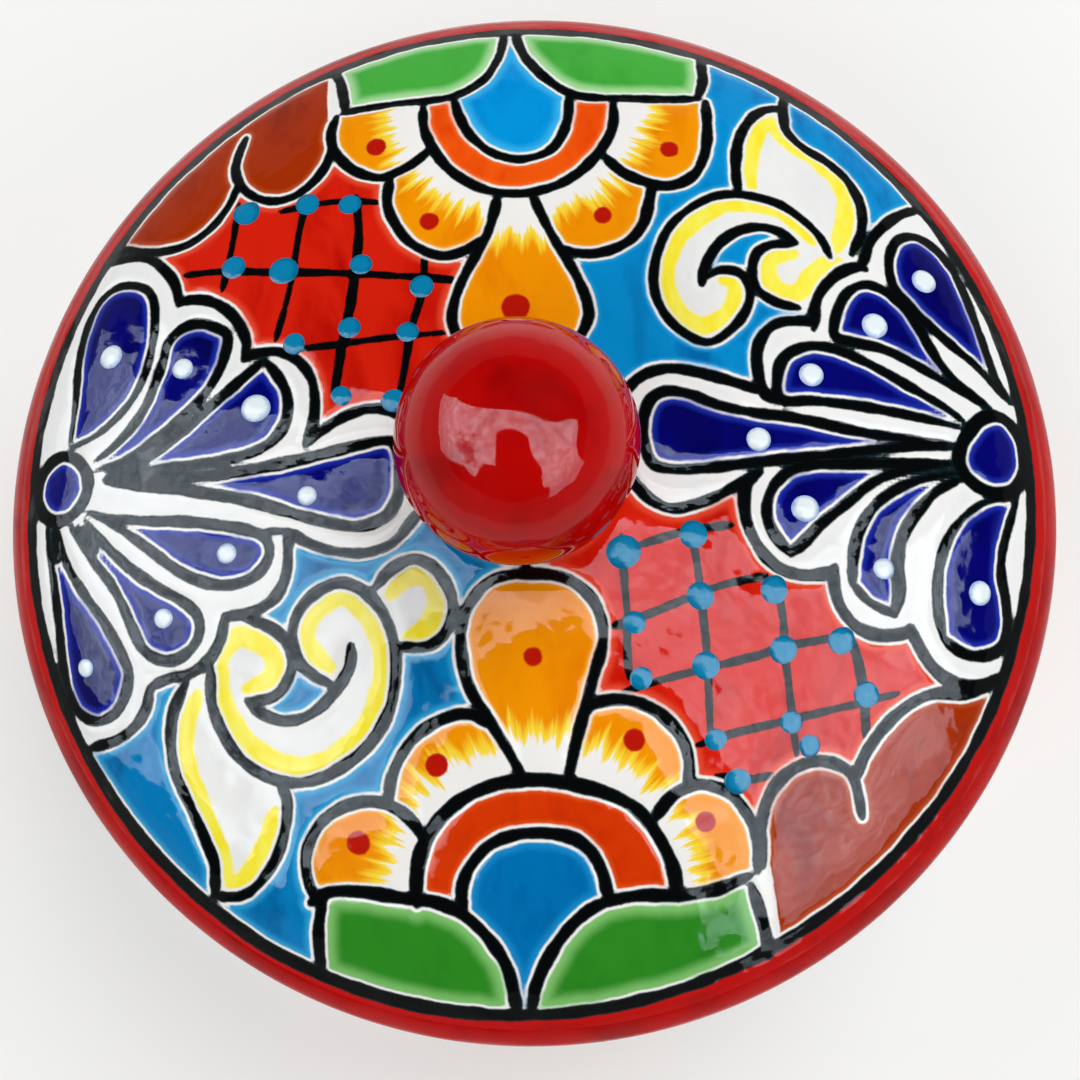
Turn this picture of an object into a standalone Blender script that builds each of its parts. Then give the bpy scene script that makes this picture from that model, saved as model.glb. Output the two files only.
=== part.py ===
"""Covered tortilla dish in glazed earthenware: a dish on a foot ring, and a domed lid with a ball knob.

Lengths are in metres and +Z is up. The origin is the centre of the circle that the foot ring stands on.
Every piece is turned about the Z axis from an outline of (radius, height) points.
"""

import math

import bpy

# Dish
MOUTH_RADIUS = 0.116        # inside of the dish at its rim
DISH_WALL = 0.007
DISH_HEIGHT = 0.062         # table to the top of the dish's rim
DISH_FLOOR = 0.007
DISH_FLARE = 0.003          # how far the side leans out from the turn of the base to the rim
DISH_TURN = 0.026           # radius of the turn from the base to the side
RIM_ROUNDING = 0.002

# Foot ring
FOOT_HEIGHT = 0.006
FOOT_WIDTH = 0.008
FOOT_INSET = 0.005          # foot ring's outer side inside the edge of the flat base
FOOT_SPLAY = 0.0015         # each side of the ring draws in by this towards the table
FOOT_ROUNDING = 0.001

# Lid
LID_OVERHANG = 0.004        # lid past the dish's outer rim, all round
LID_WALL = 0.006
CROWN_RISE = 0.030          # widest circle of the lid to its crown
CROWN_POWER = 2.3           # roundness of the crown: 2 is an ellipse, more is flatter
SHOULDER_POWER = 1.8        # roundness of the shoulder, in the same sense
EDGE_WIDTH = 0.0035         # the lid's lower edge rounds in by this
EDGE_DROP = 0.006           # widest circle of the lid down to its seat
SEAT_WIDTH = 0.0065         # flat ring under the lid that rests on the dish

# Flange under the lid
FLANGE_CLEARANCE = 0.0015   # flange to the inside of the dish's mouth
FLANGE_WIDTH = 0.0055
FLANGE_DEPTH = 0.006        # below the lid's seat
FLANGE_ROUNDING = 0.0015

# Knob
KNOB_RADIUS = 0.0248
NECK_RADIUS = 0.017
NECK_HEIGHT = 0.0015        # crown of the lid to where the ball starts
NECK_SPREAD = 0.0015        # the knob's foot runs out by this where it meets the lid
VENT_RADIUS = 0.003         # firing vent through the lid's crown and up into the knob
VENT_DEPTH = 0.026          # vent's length inside the knob

# Fit and resolution
JOINT_GAP = 0.0003          # between pieces that touch
RING_STEPS = 64             # facets round the dish and the lid
KNOB_STEPS = 48
ARC_STEPS = 3               # facets of a small rounded edge
TURN_STEPS = 7
SIDE_STEPS = 4
CROWN_STEPS = 15
BALL_STEPS = 12

# Places that follow from the sizes
rim_radius = MOUTH_RADIUS + DISH_WALL
side_radius = rim_radius - DISH_FLARE
base_radius = side_radius - DISH_TURN
base_height = FOOT_HEIGHT + JOINT_GAP
floor_height = base_height + DISH_FLOOR
turn_height = base_height + DISH_TURN
foot_radius = base_radius - FOOT_INSET
lid_radius = rim_radius + LID_OVERHANG
lid_inner_radius = lid_radius - EDGE_WIDTH - SEAT_WIDTH
lid_inner_rise = CROWN_RISE - LID_WALL
lid_datum_height = DISH_HEIGHT + JOINT_GAP + EDGE_DROP
flange_radius = MOUTH_RADIUS - FLANGE_CLEARANCE
ball_drop = math.sqrt(KNOB_RADIUS ** 2 - NECK_RADIUS ** 2)
ball_height = CROWN_RISE + NECK_HEIGHT + ball_drop


def arc(centre_radius, centre_height, width, height, start, end, steps):
    """Points on an elliptical arc; angles in degrees, 0 outwards and 90 upwards."""
    points = []
    for step in range(steps + 1):
        angle = math.radians(start + (end - start) * step / steps)
        points.append((centre_radius + width * math.cos(angle), centre_height + height * math.sin(angle)))
    return points


def crown_height(radius, rim, rise):
    """Height of a dome of this rim radius and rise, above its widest circle."""
    inside = max(0.0, 1.0 - (radius / rim) ** CROWN_POWER)
    return rise * inside ** (1.0 / SHOULDER_POWER)


def crown_outline(rim, rise, inner, steps):
    """Points of a dome from the radius inner down to its widest circle, closer together at the shoulder."""
    first = math.asin((inner / rim) ** (CROWN_POWER / 2.0))
    points = []
    for step in range(steps + 1):
        turn = first + (math.pi / 2.0 - first) * step / steps
        radius = rim * math.sin(turn) ** (2.0 / CROWN_POWER)
        points.append((radius, crown_height(radius, rim, rise) if step < steps else 0.0))
    return points


def side_outline(radius_change, top):
    """The dish's side from the turn of the base up to the height top, leaning out evenly faster."""
    points = []
    for step in range(1, SIDE_STEPS):
        share = step / SIDE_STEPS
        height = turn_height + (top - turn_height) * share
        lean = DISH_FLARE * ((height - turn_height) / (DISH_HEIGHT - turn_height)) ** 1.5
        points.append((side_radius + lean + radius_change, height))
    return points


def dish_outline():
    rounding = min(RIM_ROUNDING, DISH_WALL / 3.0)
    top = DISH_HEIGHT - rounding
    inner_turn = arc(base_radius, turn_height, DISH_TURN - DISH_WALL, DISH_TURN - DISH_FLOOR,
                     -90, 0, TURN_STEPS)
    outer_turn = arc(base_radius, turn_height, DISH_TURN, DISH_TURN, 0, -90, TURN_STEPS)
    inside = [(0.0, floor_height)] + inner_turn + side_outline(-DISH_WALL, top)
    rim = arc(MOUTH_RADIUS + rounding, top, rounding, rounding, 180, 90, ARC_STEPS)
    rim += arc(rim_radius - rounding, top, rounding, rounding, 90, 0, ARC_STEPS)
    outside = side_outline(0.0, top)[::-1] + outer_turn + [(0.0, base_height)]
    return inside + rim + outside


def foot_outline():
    inner = foot_radius - FOOT_WIDTH
    low_outer = foot_radius - FOOT_SPLAY
    low_inner = inner + FOOT_SPLAY
    rounding = min(FOOT_ROUNDING, (low_outer - low_inner) / 3.0)
    bottom = arc(low_outer - rounding, rounding, rounding, rounding, 0, -90, ARC_STEPS)
    bottom += arc(low_inner + rounding, rounding, rounding, rounding, -90, -180, ARC_STEPS)
    return [(inner, FOOT_HEIGHT), (foot_radius, FOOT_HEIGHT)] + bottom


def lid_outline():
    outside = crown_outline(lid_radius, CROWN_RISE, VENT_RADIUS, CROWN_STEPS)
    edge = arc(lid_radius - EDGE_WIDTH, 0.0, EDGE_WIDTH, EDGE_DROP, 0, -90, ARC_STEPS)[1:]
    inside = crown_outline(lid_inner_radius, lid_inner_rise, VENT_RADIUS, CROWN_STEPS)[::-1]
    return outside + edge + [(lid_inner_radius, -EDGE_DROP)] + inside


def flange_outline():
    inner = flange_radius - FLANGE_WIDTH
    bottom_height = -EDGE_DROP - FLANGE_DEPTH
    rounding = min(FLANGE_ROUNDING, FLANGE_WIDTH / 3.0)
    top = []
    for step in range(ARC_STEPS + 1):
        radius = inner + FLANGE_WIDTH * step / ARC_STEPS
        top.append((radius, crown_height(radius, lid_inner_radius, lid_inner_rise) - 2.0 * JOINT_GAP))
    low = bottom_height + rounding
    bottom = arc(flange_radius - rounding, low, rounding, rounding, 0, -90, ARC_STEPS)
    bottom += arc(inner + rounding, low, rounding, rounding, -90, -180, ARC_STEPS)
    return top + bottom


def knob_outline():
    neck_angle = math.degrees(math.asin(ball_drop / KNOB_RADIUS))
    ball = arc(0.0, ball_height, KNOB_RADIUS, KNOB_RADIUS, 90, -neck_angle, BALL_STEPS)
    ball[0] = (0.0, ball_height + KNOB_RADIUS)
    underside = []
    foot = NECK_RADIUS + NECK_SPREAD
    for step in range(ARC_STEPS + 1):
        radius = foot + (VENT_RADIUS - foot) * step / ARC_STEPS
        underside.append((radius, crown_height(radius, lid_radius, CROWN_RISE) + JOINT_GAP))
    vent_top = CROWN_RISE + VENT_DEPTH
    return ball + underside + [(VENT_RADIUS, vent_top), (0.0, vent_top)]


def glaze(name, colour, roughness):
    """A plain material of one colour."""
    material = bpy.data.materials.new(name)
    material.use_nodes = True
    shader = material.node_tree.nodes["Principled BSDF"]
    shader.inputs["Base Color"].default_value = (*colour, 1.0)
    shader.inputs["Roughness"].default_value = roughness
    shader.inputs["Metallic"].default_value = 0.0
    return material


def turned(name, outline, steps, material, collection, parent=None):
    """One solid, turned about Z from its outline; the outline closes itself unless both ends are on the axis."""
    count = len(outline)
    edges = [(index, index + 1) for index in range(count - 1)]
    if outline[0][0] > 0.0:
        edges.append((count - 1, 0))
    mesh = bpy.data.meshes.new(name)
    mesh.from_pydata([(radius, 0.0, height) for radius, height in outline], edges, [])
    mesh.materials.append(material)
    piece = bpy.data.objects.new(name, mesh)
    collection.objects.link(piece)
    screw = piece.modifiers.new("Turn", "SCREW")
    screw.axis = "Z"
    screw.steps = steps
    screw.render_steps = steps
    screw.use_smooth_shade = True
    screw.use_merge_vertices = True
    screw.merge_threshold = 0.00001
    piece.parent = parent
    return piece


def main():
    for old in list(bpy.data.objects):
        bpy.data.objects.remove(old, do_unlink=True)
    parts = bpy.data.collections.new("tortilla_serving_dish")
    bpy.context.scene.collection.children.link(parts)

    white = glaze("white_glaze", (0.84, 0.83, 0.79), 0.12)
    blue = glaze("sky_blue_glaze", (0.0, 0.24, 0.55), 0.12)
    red = glaze("red_glaze", (0.45, 0.005, 0.003), 0.1)
    cream = glaze("cream_glaze", (0.78, 0.74, 0.64), 0.2)
    clay = glaze("fired_clay", (0.45, 0.2, 0.11), 0.8)

    turned("dish_body", dish_outline(), RING_STEPS, blue, parts)
    turned("dish_foot_ring", foot_outline(), RING_STEPS, clay, parts)

    lid = bpy.data.objects.new("lid_axis", None)
    lid.location = (0.0, 0.0, lid_datum_height)
    lid.empty_display_size = KNOB_RADIUS
    parts.objects.link(lid)
    turned("lid_dome", lid_outline(), RING_STEPS, white, parts, lid)
    turned("lid_flange", flange_outline(), RING_STEPS, cream, parts, lid)
    turned("lid_knob", knob_outline(), KNOB_STEPS, red, parts, lid)


main()
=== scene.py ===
"""Looks of a covered tortilla dish: a glazed and hand-painted dish, and its domed lid with a ball knob.

The file is laid out as an add-on and is run as a script. Geometry is in metres. The painted pattern is drawn
in millimetres on a flat sheet: the lid's plan, and the dish's side rolled out flat.
"""

import math
from functools import lru_cache

import bpy
import numpy as np
from bpy.props import FloatProperty, FloatVectorProperty, IntProperty, PointerProperty
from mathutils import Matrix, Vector


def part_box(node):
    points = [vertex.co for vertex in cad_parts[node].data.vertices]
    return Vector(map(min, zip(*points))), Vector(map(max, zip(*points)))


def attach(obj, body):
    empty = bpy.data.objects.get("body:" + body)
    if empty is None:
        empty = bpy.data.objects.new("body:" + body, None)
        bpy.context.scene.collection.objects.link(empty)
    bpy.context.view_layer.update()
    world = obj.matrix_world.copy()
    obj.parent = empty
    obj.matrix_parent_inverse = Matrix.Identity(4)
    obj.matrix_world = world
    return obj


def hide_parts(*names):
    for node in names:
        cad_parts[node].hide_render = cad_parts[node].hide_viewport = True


bl_info = {
    "name": "Painted tortilla dish",
    "version": (1, 0, 0),
    "blender": (4, 5, 0),
    "location": "3D View > Sidebar > Pottery",
    "description": "Builds the glazed and painted pieces of a covered tortilla dish around its packed solids",
    "category": "Object",
}

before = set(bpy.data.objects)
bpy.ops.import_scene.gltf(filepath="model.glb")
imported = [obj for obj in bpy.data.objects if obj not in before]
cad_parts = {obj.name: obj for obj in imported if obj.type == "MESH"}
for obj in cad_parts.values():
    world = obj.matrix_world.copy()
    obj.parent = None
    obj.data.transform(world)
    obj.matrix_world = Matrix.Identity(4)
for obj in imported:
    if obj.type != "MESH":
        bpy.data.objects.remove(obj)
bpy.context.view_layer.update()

MM = 0.001

# Lid, from the frame and the same values as the solids
EDGE_WIDTH = 0.0035
EDGE_DROP = 0.006
SEAT_WIDTH = 0.0065
LID_WALL = 0.006
CROWN_POWER = 2.3
SHOULDER_POWER = 1.8
VENT_RADIUS = 0.003
VENT_DEPTH = 0.026
JOINT_GAP = 0.0003
dome_low, dome_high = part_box("lid_dome")
lid_radius = dome_high.x
lid_datum = dome_low.z + EDGE_DROP
crown_rise = dome_high.z - lid_datum
inner_radius = lid_radius - EDGE_WIDTH - SEAT_WIDTH
inner_rise = crown_rise - LID_WALL

# Flange and knob
FLANGE_WIDTH = 0.0055
FLANGE_ROUNDING = 0.0015
NECK_RADIUS = 0.017
NECK_SPREAD = 0.0015
flange_low, flange_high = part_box("lid_flange")
flange_radius = flange_high.x
knob_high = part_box("lid_knob")[1]
knob_radius = knob_high.x
knob_centre = knob_high.z - knob_radius

# Dish and foot ring
DISH_WALL = 0.007
DISH_FLOOR = 0.007
DISH_FLARE = 0.003
DISH_TURN = 0.026
RIM_ROUNDING = 0.002
FOOT_WIDTH = 0.008
FOOT_SPLAY = 0.0015
FOOT_ROUNDING = 0.001
dish_low, dish_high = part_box("dish_body")
rim_radius = dish_high.x
side_radius = rim_radius - DISH_FLARE
base_radius = side_radius - DISH_TURN
turn_height = dish_low.z + DISH_TURN
floor_height = dish_low.z + DISH_FLOOR
lip_height = dish_high.z - RIM_ROUNDING
foot_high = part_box("dish_foot_ring")[1]
foot_radius = foot_high.x

# Painted sheets, in millimetres
SHEET_PITCH_MM = 0.4
FAR_MM = 6.0                # distances from a line are kept up to this
BORDER_MM = 117.0           # radius of the black line round the lid's picture
BORDER_WIDTH_MM = 3.0
THICK_BORDER_WIDTH_MM = 3.5     # the same line at the lower left
BORDER_STRAY_MM = [-0.1, 0.4, 1.0, 1.0, 1.2, 0.8, 0.8, 1.3, 2.0, 0.6, -0.2, 0.2]    # each 30 degrees
BAND_MM = 121.6             # radius where the plain red rim glaze starts
KNOB_LINE_MM = 20.2         # radius of the black line round the knob's foot
KNOB_LINE_WIDTH_MM = 1.8
WALL_REPEATS = 4            # the dish's side repeats its four motifs this many times
WALL_LOW_MM = 14.0          # lower black line, from the edge of the flat base along the side
WALL_HIGH_MM = 63.4         # upper black line
WALL_LINE_WIDTH_MM = 2.6
WALL_SHEET_MM = 80.0        # height of the side's sheet
WALL_SPOT_SHARE = 0.62      # painted dots on the side, against the lid's
repeat_mm = 2.0 * math.pi * side_radius / MM / WALL_REPEATS

# Mesh of the lid: ring number n of the painted top has RING_GROWTH * n points, so they are evenly spread
FIRST_RING = 4
LAST_RING = 136
RING_GROWTH = 8
RIM_POINTS = 288
EDGE_RINGS = 10             # from the painted top down to the widest circle
EVEN_EDGE = 0.004           # the unevenness ends this far above the widest circle
PAINTED, RIM, BARE, PLAIN = range(4)    # materials of the lid's bands, in order

# Relief, beads and brush marks
SWELL_MM = 1.5              # a field of glaze swells up over about twice this from a line
GROOVE_MM = 0.3             # a line's groove ends this far outside it
GROOVE_SHARE = 0.35         # share of the line depth that the mesh takes up
SLOPE_STEP = 0.0005         # step along a profile that its slope is measured over
BALL_SHARE = 1.25           # a bead's ball, against the radius that shows
BRUSH_TURN = math.radians(35.0)
WHITE_END_MM = 32.5         # the petals' white foot ends this far from the flower's middle
WASH_END_MM = 39.0          # the petals' thin glaze ends

# The lid's motifs, given in millimetres on its plan: +X right, +Y away from the viewer. Ink, bare
# gaps without a line, yellow brush lines and the net's trail are lists of (width, points). Fields say
# (x, y, glaze) inside each field. Pearls and knots are raised dots and spots are painted ones, as
# (x, y, radius). Meet is the place where a motif's open strokes meet and get thinner, with its reach. Hub is
# a flower's middle, the scale of distances from it, and how much further the white runs up the long petal.
TOP_FLOWER = {
    "ink": [
        (2.8, [(4, 65), (6.5, 58.5), (9, 53), (13, 45), (15.5, 38), (15.5, 33), (12, 27.5), (6, 24.5),
               (0, 24), (-6, 24.5), (-11.5, 27.5), (-14.5, 32.5), (-14.5, 38), (-12, 45), (-7.5, 53.5),
               (-5.5, 59), (-4, 65.5)]),
        (3.0, [(-22, 92.5), (-21.5, 85.5), (-19, 79), (-15, 73), (-8.5, 68), (-2, 66), (4, 66), (10.5, 68),
               (16, 72), (20.5, 77.5), (23.5, 84), (24, 92)]),
        (2.8, [(-14.5, 94), (-13, 88.5), (-10.5, 83), (-6, 78), (-0.5, 75.5), (4, 75.5), (8.5, 77.5),
               (11.5, 82), (13, 87.5), (13.5, 94)]),
        (2.6, [(-42, 93), (-36, 93.8), (-28.5, 94.3), (-21, 94.3), (-16, 94.8), (-11.5, 96.5), (-7, 100.2),
               (-4.5, 105), (-3, 110), (-2.2, 117)]),
        (3.0, [(0.5, 117), (2, 110), (4.2, 105), (8, 99.5), (13, 95), (18.5, 93), (28, 92.5), (37, 92.5),
               (44, 93)]),
        (3.0, [(-45.5, 109), (-43.5, 104), (-42.5, 100), (-41.3, 93.5)]),
        (3.2, [(47, 109), (46.7, 104), (46.5, 99), (44.6, 93)]),
        (3.0, [(-43.5, 92), (-44.5, 86), (-42.5, 80), (-38, 75), (-32, 72.5), (-27, 74), (-23, 76.5),
               (-19.5, 80)]),
        (3.0, [(-29.5, 72), (-30, 65.5), (-28, 59.5), (-24, 54), (-17.5, 50.6), (-12, 51.5), (-7, 54.5)]),
        (3.0, [(9.5, 51.5), (14, 49.7), (19, 49.7), (25, 52), (29, 56.5), (31, 63), (32, 68)]),
        (3.2, [(21, 75.5), (25, 71), (30.5, 68), (36, 67), (41.5, 69.7), (44.6, 75), (46, 82), (46.5, 92)]),
        (2.4, [(-6, 24.5), (-6, 20)]),
    ],
    "fields": [(0, 45, "orange"), (-20, 60, "orange"), (20, 60, "orange"), (-35, 82, "orange"),
               (38, 80, "orange"), (0, 71, "vermilion"), (0, 88, "drop"), (-25, 102, "green"),
               (25, 102, "green")],
    "spots": [(-33, 81.2, 2.4), (36.5, 77, 2.2), (-20, 59.5, 2.2), (20, 59.2, 2.1), (-0.5, 36.8, 3.2)],
    "hub": (1, 92, 1.08, 6.0),
}

BOTTOM_FLOWER = {
    "ink": [
        (2.9, [(-1.8, -67), (-4.5, -61.5), (-8.6, -54.5), (-12.6, -47.5), (-14, -41), (-14, -35),
               (-11.8, -29.3), (-7, -24.7), (0.5, -23.7), (8.2, -24.8), (13.5, -28.7), (16, -34), (16, -39.3),
               (14, -45.6), (12, -52), (9.8, -59.3), (7.5, -68)]),
        (3.5, [(-25.5, -93), (-25.3, -87.7), (-24, -81.5), (-20, -75), (-14, -70.3), (-6.5, -67.7),
               (1, -67.2), (8, -68.2), (15.5, -70.3), (22, -74), (26.5, -80), (29.3, -86.6), (30.2, -93)]),
        (3.1, [(-15.5, -95), (-15.7, -90), (-14, -85.5), (-9.7, -80.8), (-3.5, -78.5), (3, -78.4),
               (8.7, -79.8), (12.4, -83), (14.5, -87.7), (15.4, -93)]),
        (3.3, [(-49, -92.4), (-44.5, -90), (-37, -90), (-28.6, -91.4), (-21.3, -92.4), (-15, -95.6),
               (-9.7, -101.4), (-6.5, -107.7), (-5, -117)]),
        (3.2, [(-2, -117), (-0.7, -111), (2.4, -104.5), (7.2, -98.2), (13.5, -93.7), (22, -92.1),
               (30.3, -92.4), (38.7, -91.4), (46, -88.7)]),
        (3.2, [(-48, -108), (-47.6, -98.2), (-46, -91)]),
        (3.2, [(46, -91), (47.7, -96), (49.3, -102), (50, -107)]),
        (3.0, [(-8.5, -55.5), (-12, -53.2), (-17, -53.5), (-23.4, -56.6), (-27.6, -61.4), (-30, -66.6),
               (-30.7, -72)]),
        (3.0, [(-48, -91.5), (-49.5, -85.6), (-48.8, -80.3), (-45.5, -75), (-40, -71.7), (-34.4, -70.8),
               (-29.7, -72.1), (-26, -75), (-22.8, -79.5)]),
        (3.0, [(11.2, -55), (13, -52.1), (17.7, -51), (23, -51.7), (28, -54.5), (32, -59.3), (33.5, -64.5),
               (33, -70)]),
        (3.0, [(25.5, -76.5), (28, -73), (31.4, -70.3), (36.6, -69.3), (42, -71.4), (45.6, -76),
               (47.7, -81.5), (47.5, -88)]),
        (2.4, [(0.5, -23.7), (0, -20)]),
    ],
    # Its lower fields take the darker glazes: deeper glaze, and partly painted shade.
    "fields": [(0, -42, "orange"), (-20, -62, "orange"), (22, -60, "orange"), (-37, -80, "orange"),
               (38, -80, "orange"), (0, -73, "vermilion_deep"), (0, -90, "drop_deep"),
               (-30, -100, "green_deep"), (30, -100, "green_deep")],
    "spots": [(1.1, -41.5, 2.0), (-20, -63.5, 2.4), (22, -59.5, 2.3), (-37.5, -79.5, 2.6), (36.5, -77, 2.2)],
    "hub": (1, -93, 1.0, 1.5),
}

RIGHT_FAN = {
    "ink": [
        # scalloped outline
        (3.0, [(97, 64.5), (92, 62.3), (86.5, 58), (82.7, 53.5), (80.7, 49), (79.3, 46.6)]),
        (3.2, [(80.5, 46), (79, 46.6), (74.5, 45), (70.5, 41.6), (67.7, 37), (67, 32), (66.6, 30.5)]),
        (3.2, [(67.3, 32.3), (63.6, 32.5), (59, 32), (55.5, 29.8), (53.2, 25.3), (53, 20), (54, 15.5),
               (57, 13.3)]),
        (3.0, [(54, 15.5), (45.5, 18.5), (38.2, 20.5), (32.7, 21.2), (27.3, 19.8), (23.6, 16.2), (21.5, 10),
               (21, 3), (22.5, -2), (25, -5.5), (28.5, -9), (33, -10.5), (40, -8.8), (46, -6), (52, -2.6)]),
        (3.2, [(52, -2.6), (49, -5.2), (48, -9.6), (48.5, -14.4), (51, -20), (55, -24), (60, -25.6),
               (65.6, -25.2), (67.2, -24)]),
        (3.2, [(67.2, -24), (66.8, -28), (68, -32.8), (71.2, -36.8), (76, -38.8), (81.6, -38.6),
               (83.6, -37.2)]),
        (3.2, [(83.6, -37.2), (85.2, -41), (88, -45.6), (92, -48.8), (96.8, -50), (101.6, -49.6),
               (107, -48)]),
        # petals, from the top one down
        (3.0, [(114, 15), (110.5, 21.5), (108, 31.5), (106, 40.5), (103.2, 49), (99, 54.2), (94.5, 56.2),
               (90, 54.8), (87.3, 50.7), (86.5, 46), (87.2, 41.5), (91, 36.6), (95.5, 31.8), (100.5, 27.5),
               (106, 23), (113.6, 15)]),
        (3.0, [(108, 13.3), (102, 17.5), (98.3, 20.5), (94.7, 26), (92, 31.6), (88.6, 37), (84.5, 40.7),
               (80, 42), (75.5, 39.8), (72.4, 34.5), (71.4, 29), (76.5, 27.3), (82, 26.2), (87.3, 24),
               (92, 21.5), (98.3, 18), (108, 13)]),
        (3.0, [(101, 9.2), (96.4, 12.4), (89, 16.6), (82, 20.6), (74.5, 24.4), (69, 26.2), (63.6, 26),
               (59.1, 23.5), (57.3, 19), (57.8, 13.7), (65.5, 13.4), (74.5, 12.4), (83.6, 11), (92.7, 9.3),
               (100.5, 7.8)]),
        (3.0, [(98, 3.8), (87.3, 4.7), (78.2, 5.8), (69, 7.6), (60, 9.5), (51, 10.8), (43.6, 12.6),
               (37.3, 15.2), (32, 16), (28.4, 13.7), (26.8, 9), (26.8, 4.4), (28.5, -0.4), (33, -1.8),
               (40, -1.7), (48, -0.9), (56, -0.1), (64, 0.7), (72, 1.5), (80, 2.4), (88, 3.2), (97, 3)]),
        (3.0, [(97, -0.2), (88, -0.6), (80, -0.9), (72, -1), (64, -1.3), (59.2, -2.3), (55.2, -5.3),
               (53.2, -9.2), (52.9, -13), (54.4, -16.8), (57.6, -21)]),
        (3.0, [(57.6, -21), (61, -18), (65, -14.2), (70.4, -10.2), (76, -6), (81.6, -3.3), (88, -1.8),
               (97, -0.4)]),
        (3.0, [(98, -2.6), (89.6, -4.2), (83.2, -6.4), (77.6, -10), (73.6, -15.2), (71.6, -20.8),
               (70.8, -27.5)]),
        (2.6, [(70.8, -27.5), (74.4, -31.6), (80, -34.4)]),
        (3.6, [(80, -34.4), (81.4, -29.6), (81.4, -24), (82.6, -18.4), (85, -14.2), (88.5, -10.2),
               (92.5, -6.8), (99, -3.6)]),
        (3.0, [(109, -7.8), (104, -9.2), (99.2, -12), (95.2, -16), (92.4, -20.8), (90.8, -26.4), (90.4, -33),
               (91.2, -39.6)]),
        (3.2, [(91.2, -39.6), (94.4, -42.2), (98.4, -43.6), (103.2, -43.2), (106.6, -41), (107.8, -36.8),
               (107.6, -31.2), (106.8, -26.4), (107.2, -21.6), (108.8, -16.8), (111.2, -11.2), (113.2, -6)]),
        # hub
        (3.8, [(98.3, 0.5), (99.5, 4), (102, 7.5), (105, 10.2), (108.5, 11.4), (112, 10.5), (115, 7),
               (116, 2.4), (114.8, -2.6), (112, -6), (108, -7.3), (103.2, -6), (99.5, -3), (98.3, 0.5)]),
    ],
    "fields": [(98, 38, "cobalt"), (82, 34, "cobalt"), (68, 19, "cobalt"), (45, 6, "cobalt"),
               (60, -9, "cobalt"), (77, -20, "cobalt"), (100, -25, "cobalt"), (108, 2.4, "cobalt")],
    "meet": (107, 2.2, 34.0),
    "pearls": [(95, 44, 3.1), (81, 31.7, 3.2), (65, 19.5, 3.0), (52, 4.6, 2.9), (61.3, -11, 2.9),
               (78, -24.5, 2.6), (100.8, -29.8, 3.0)],
}

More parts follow.
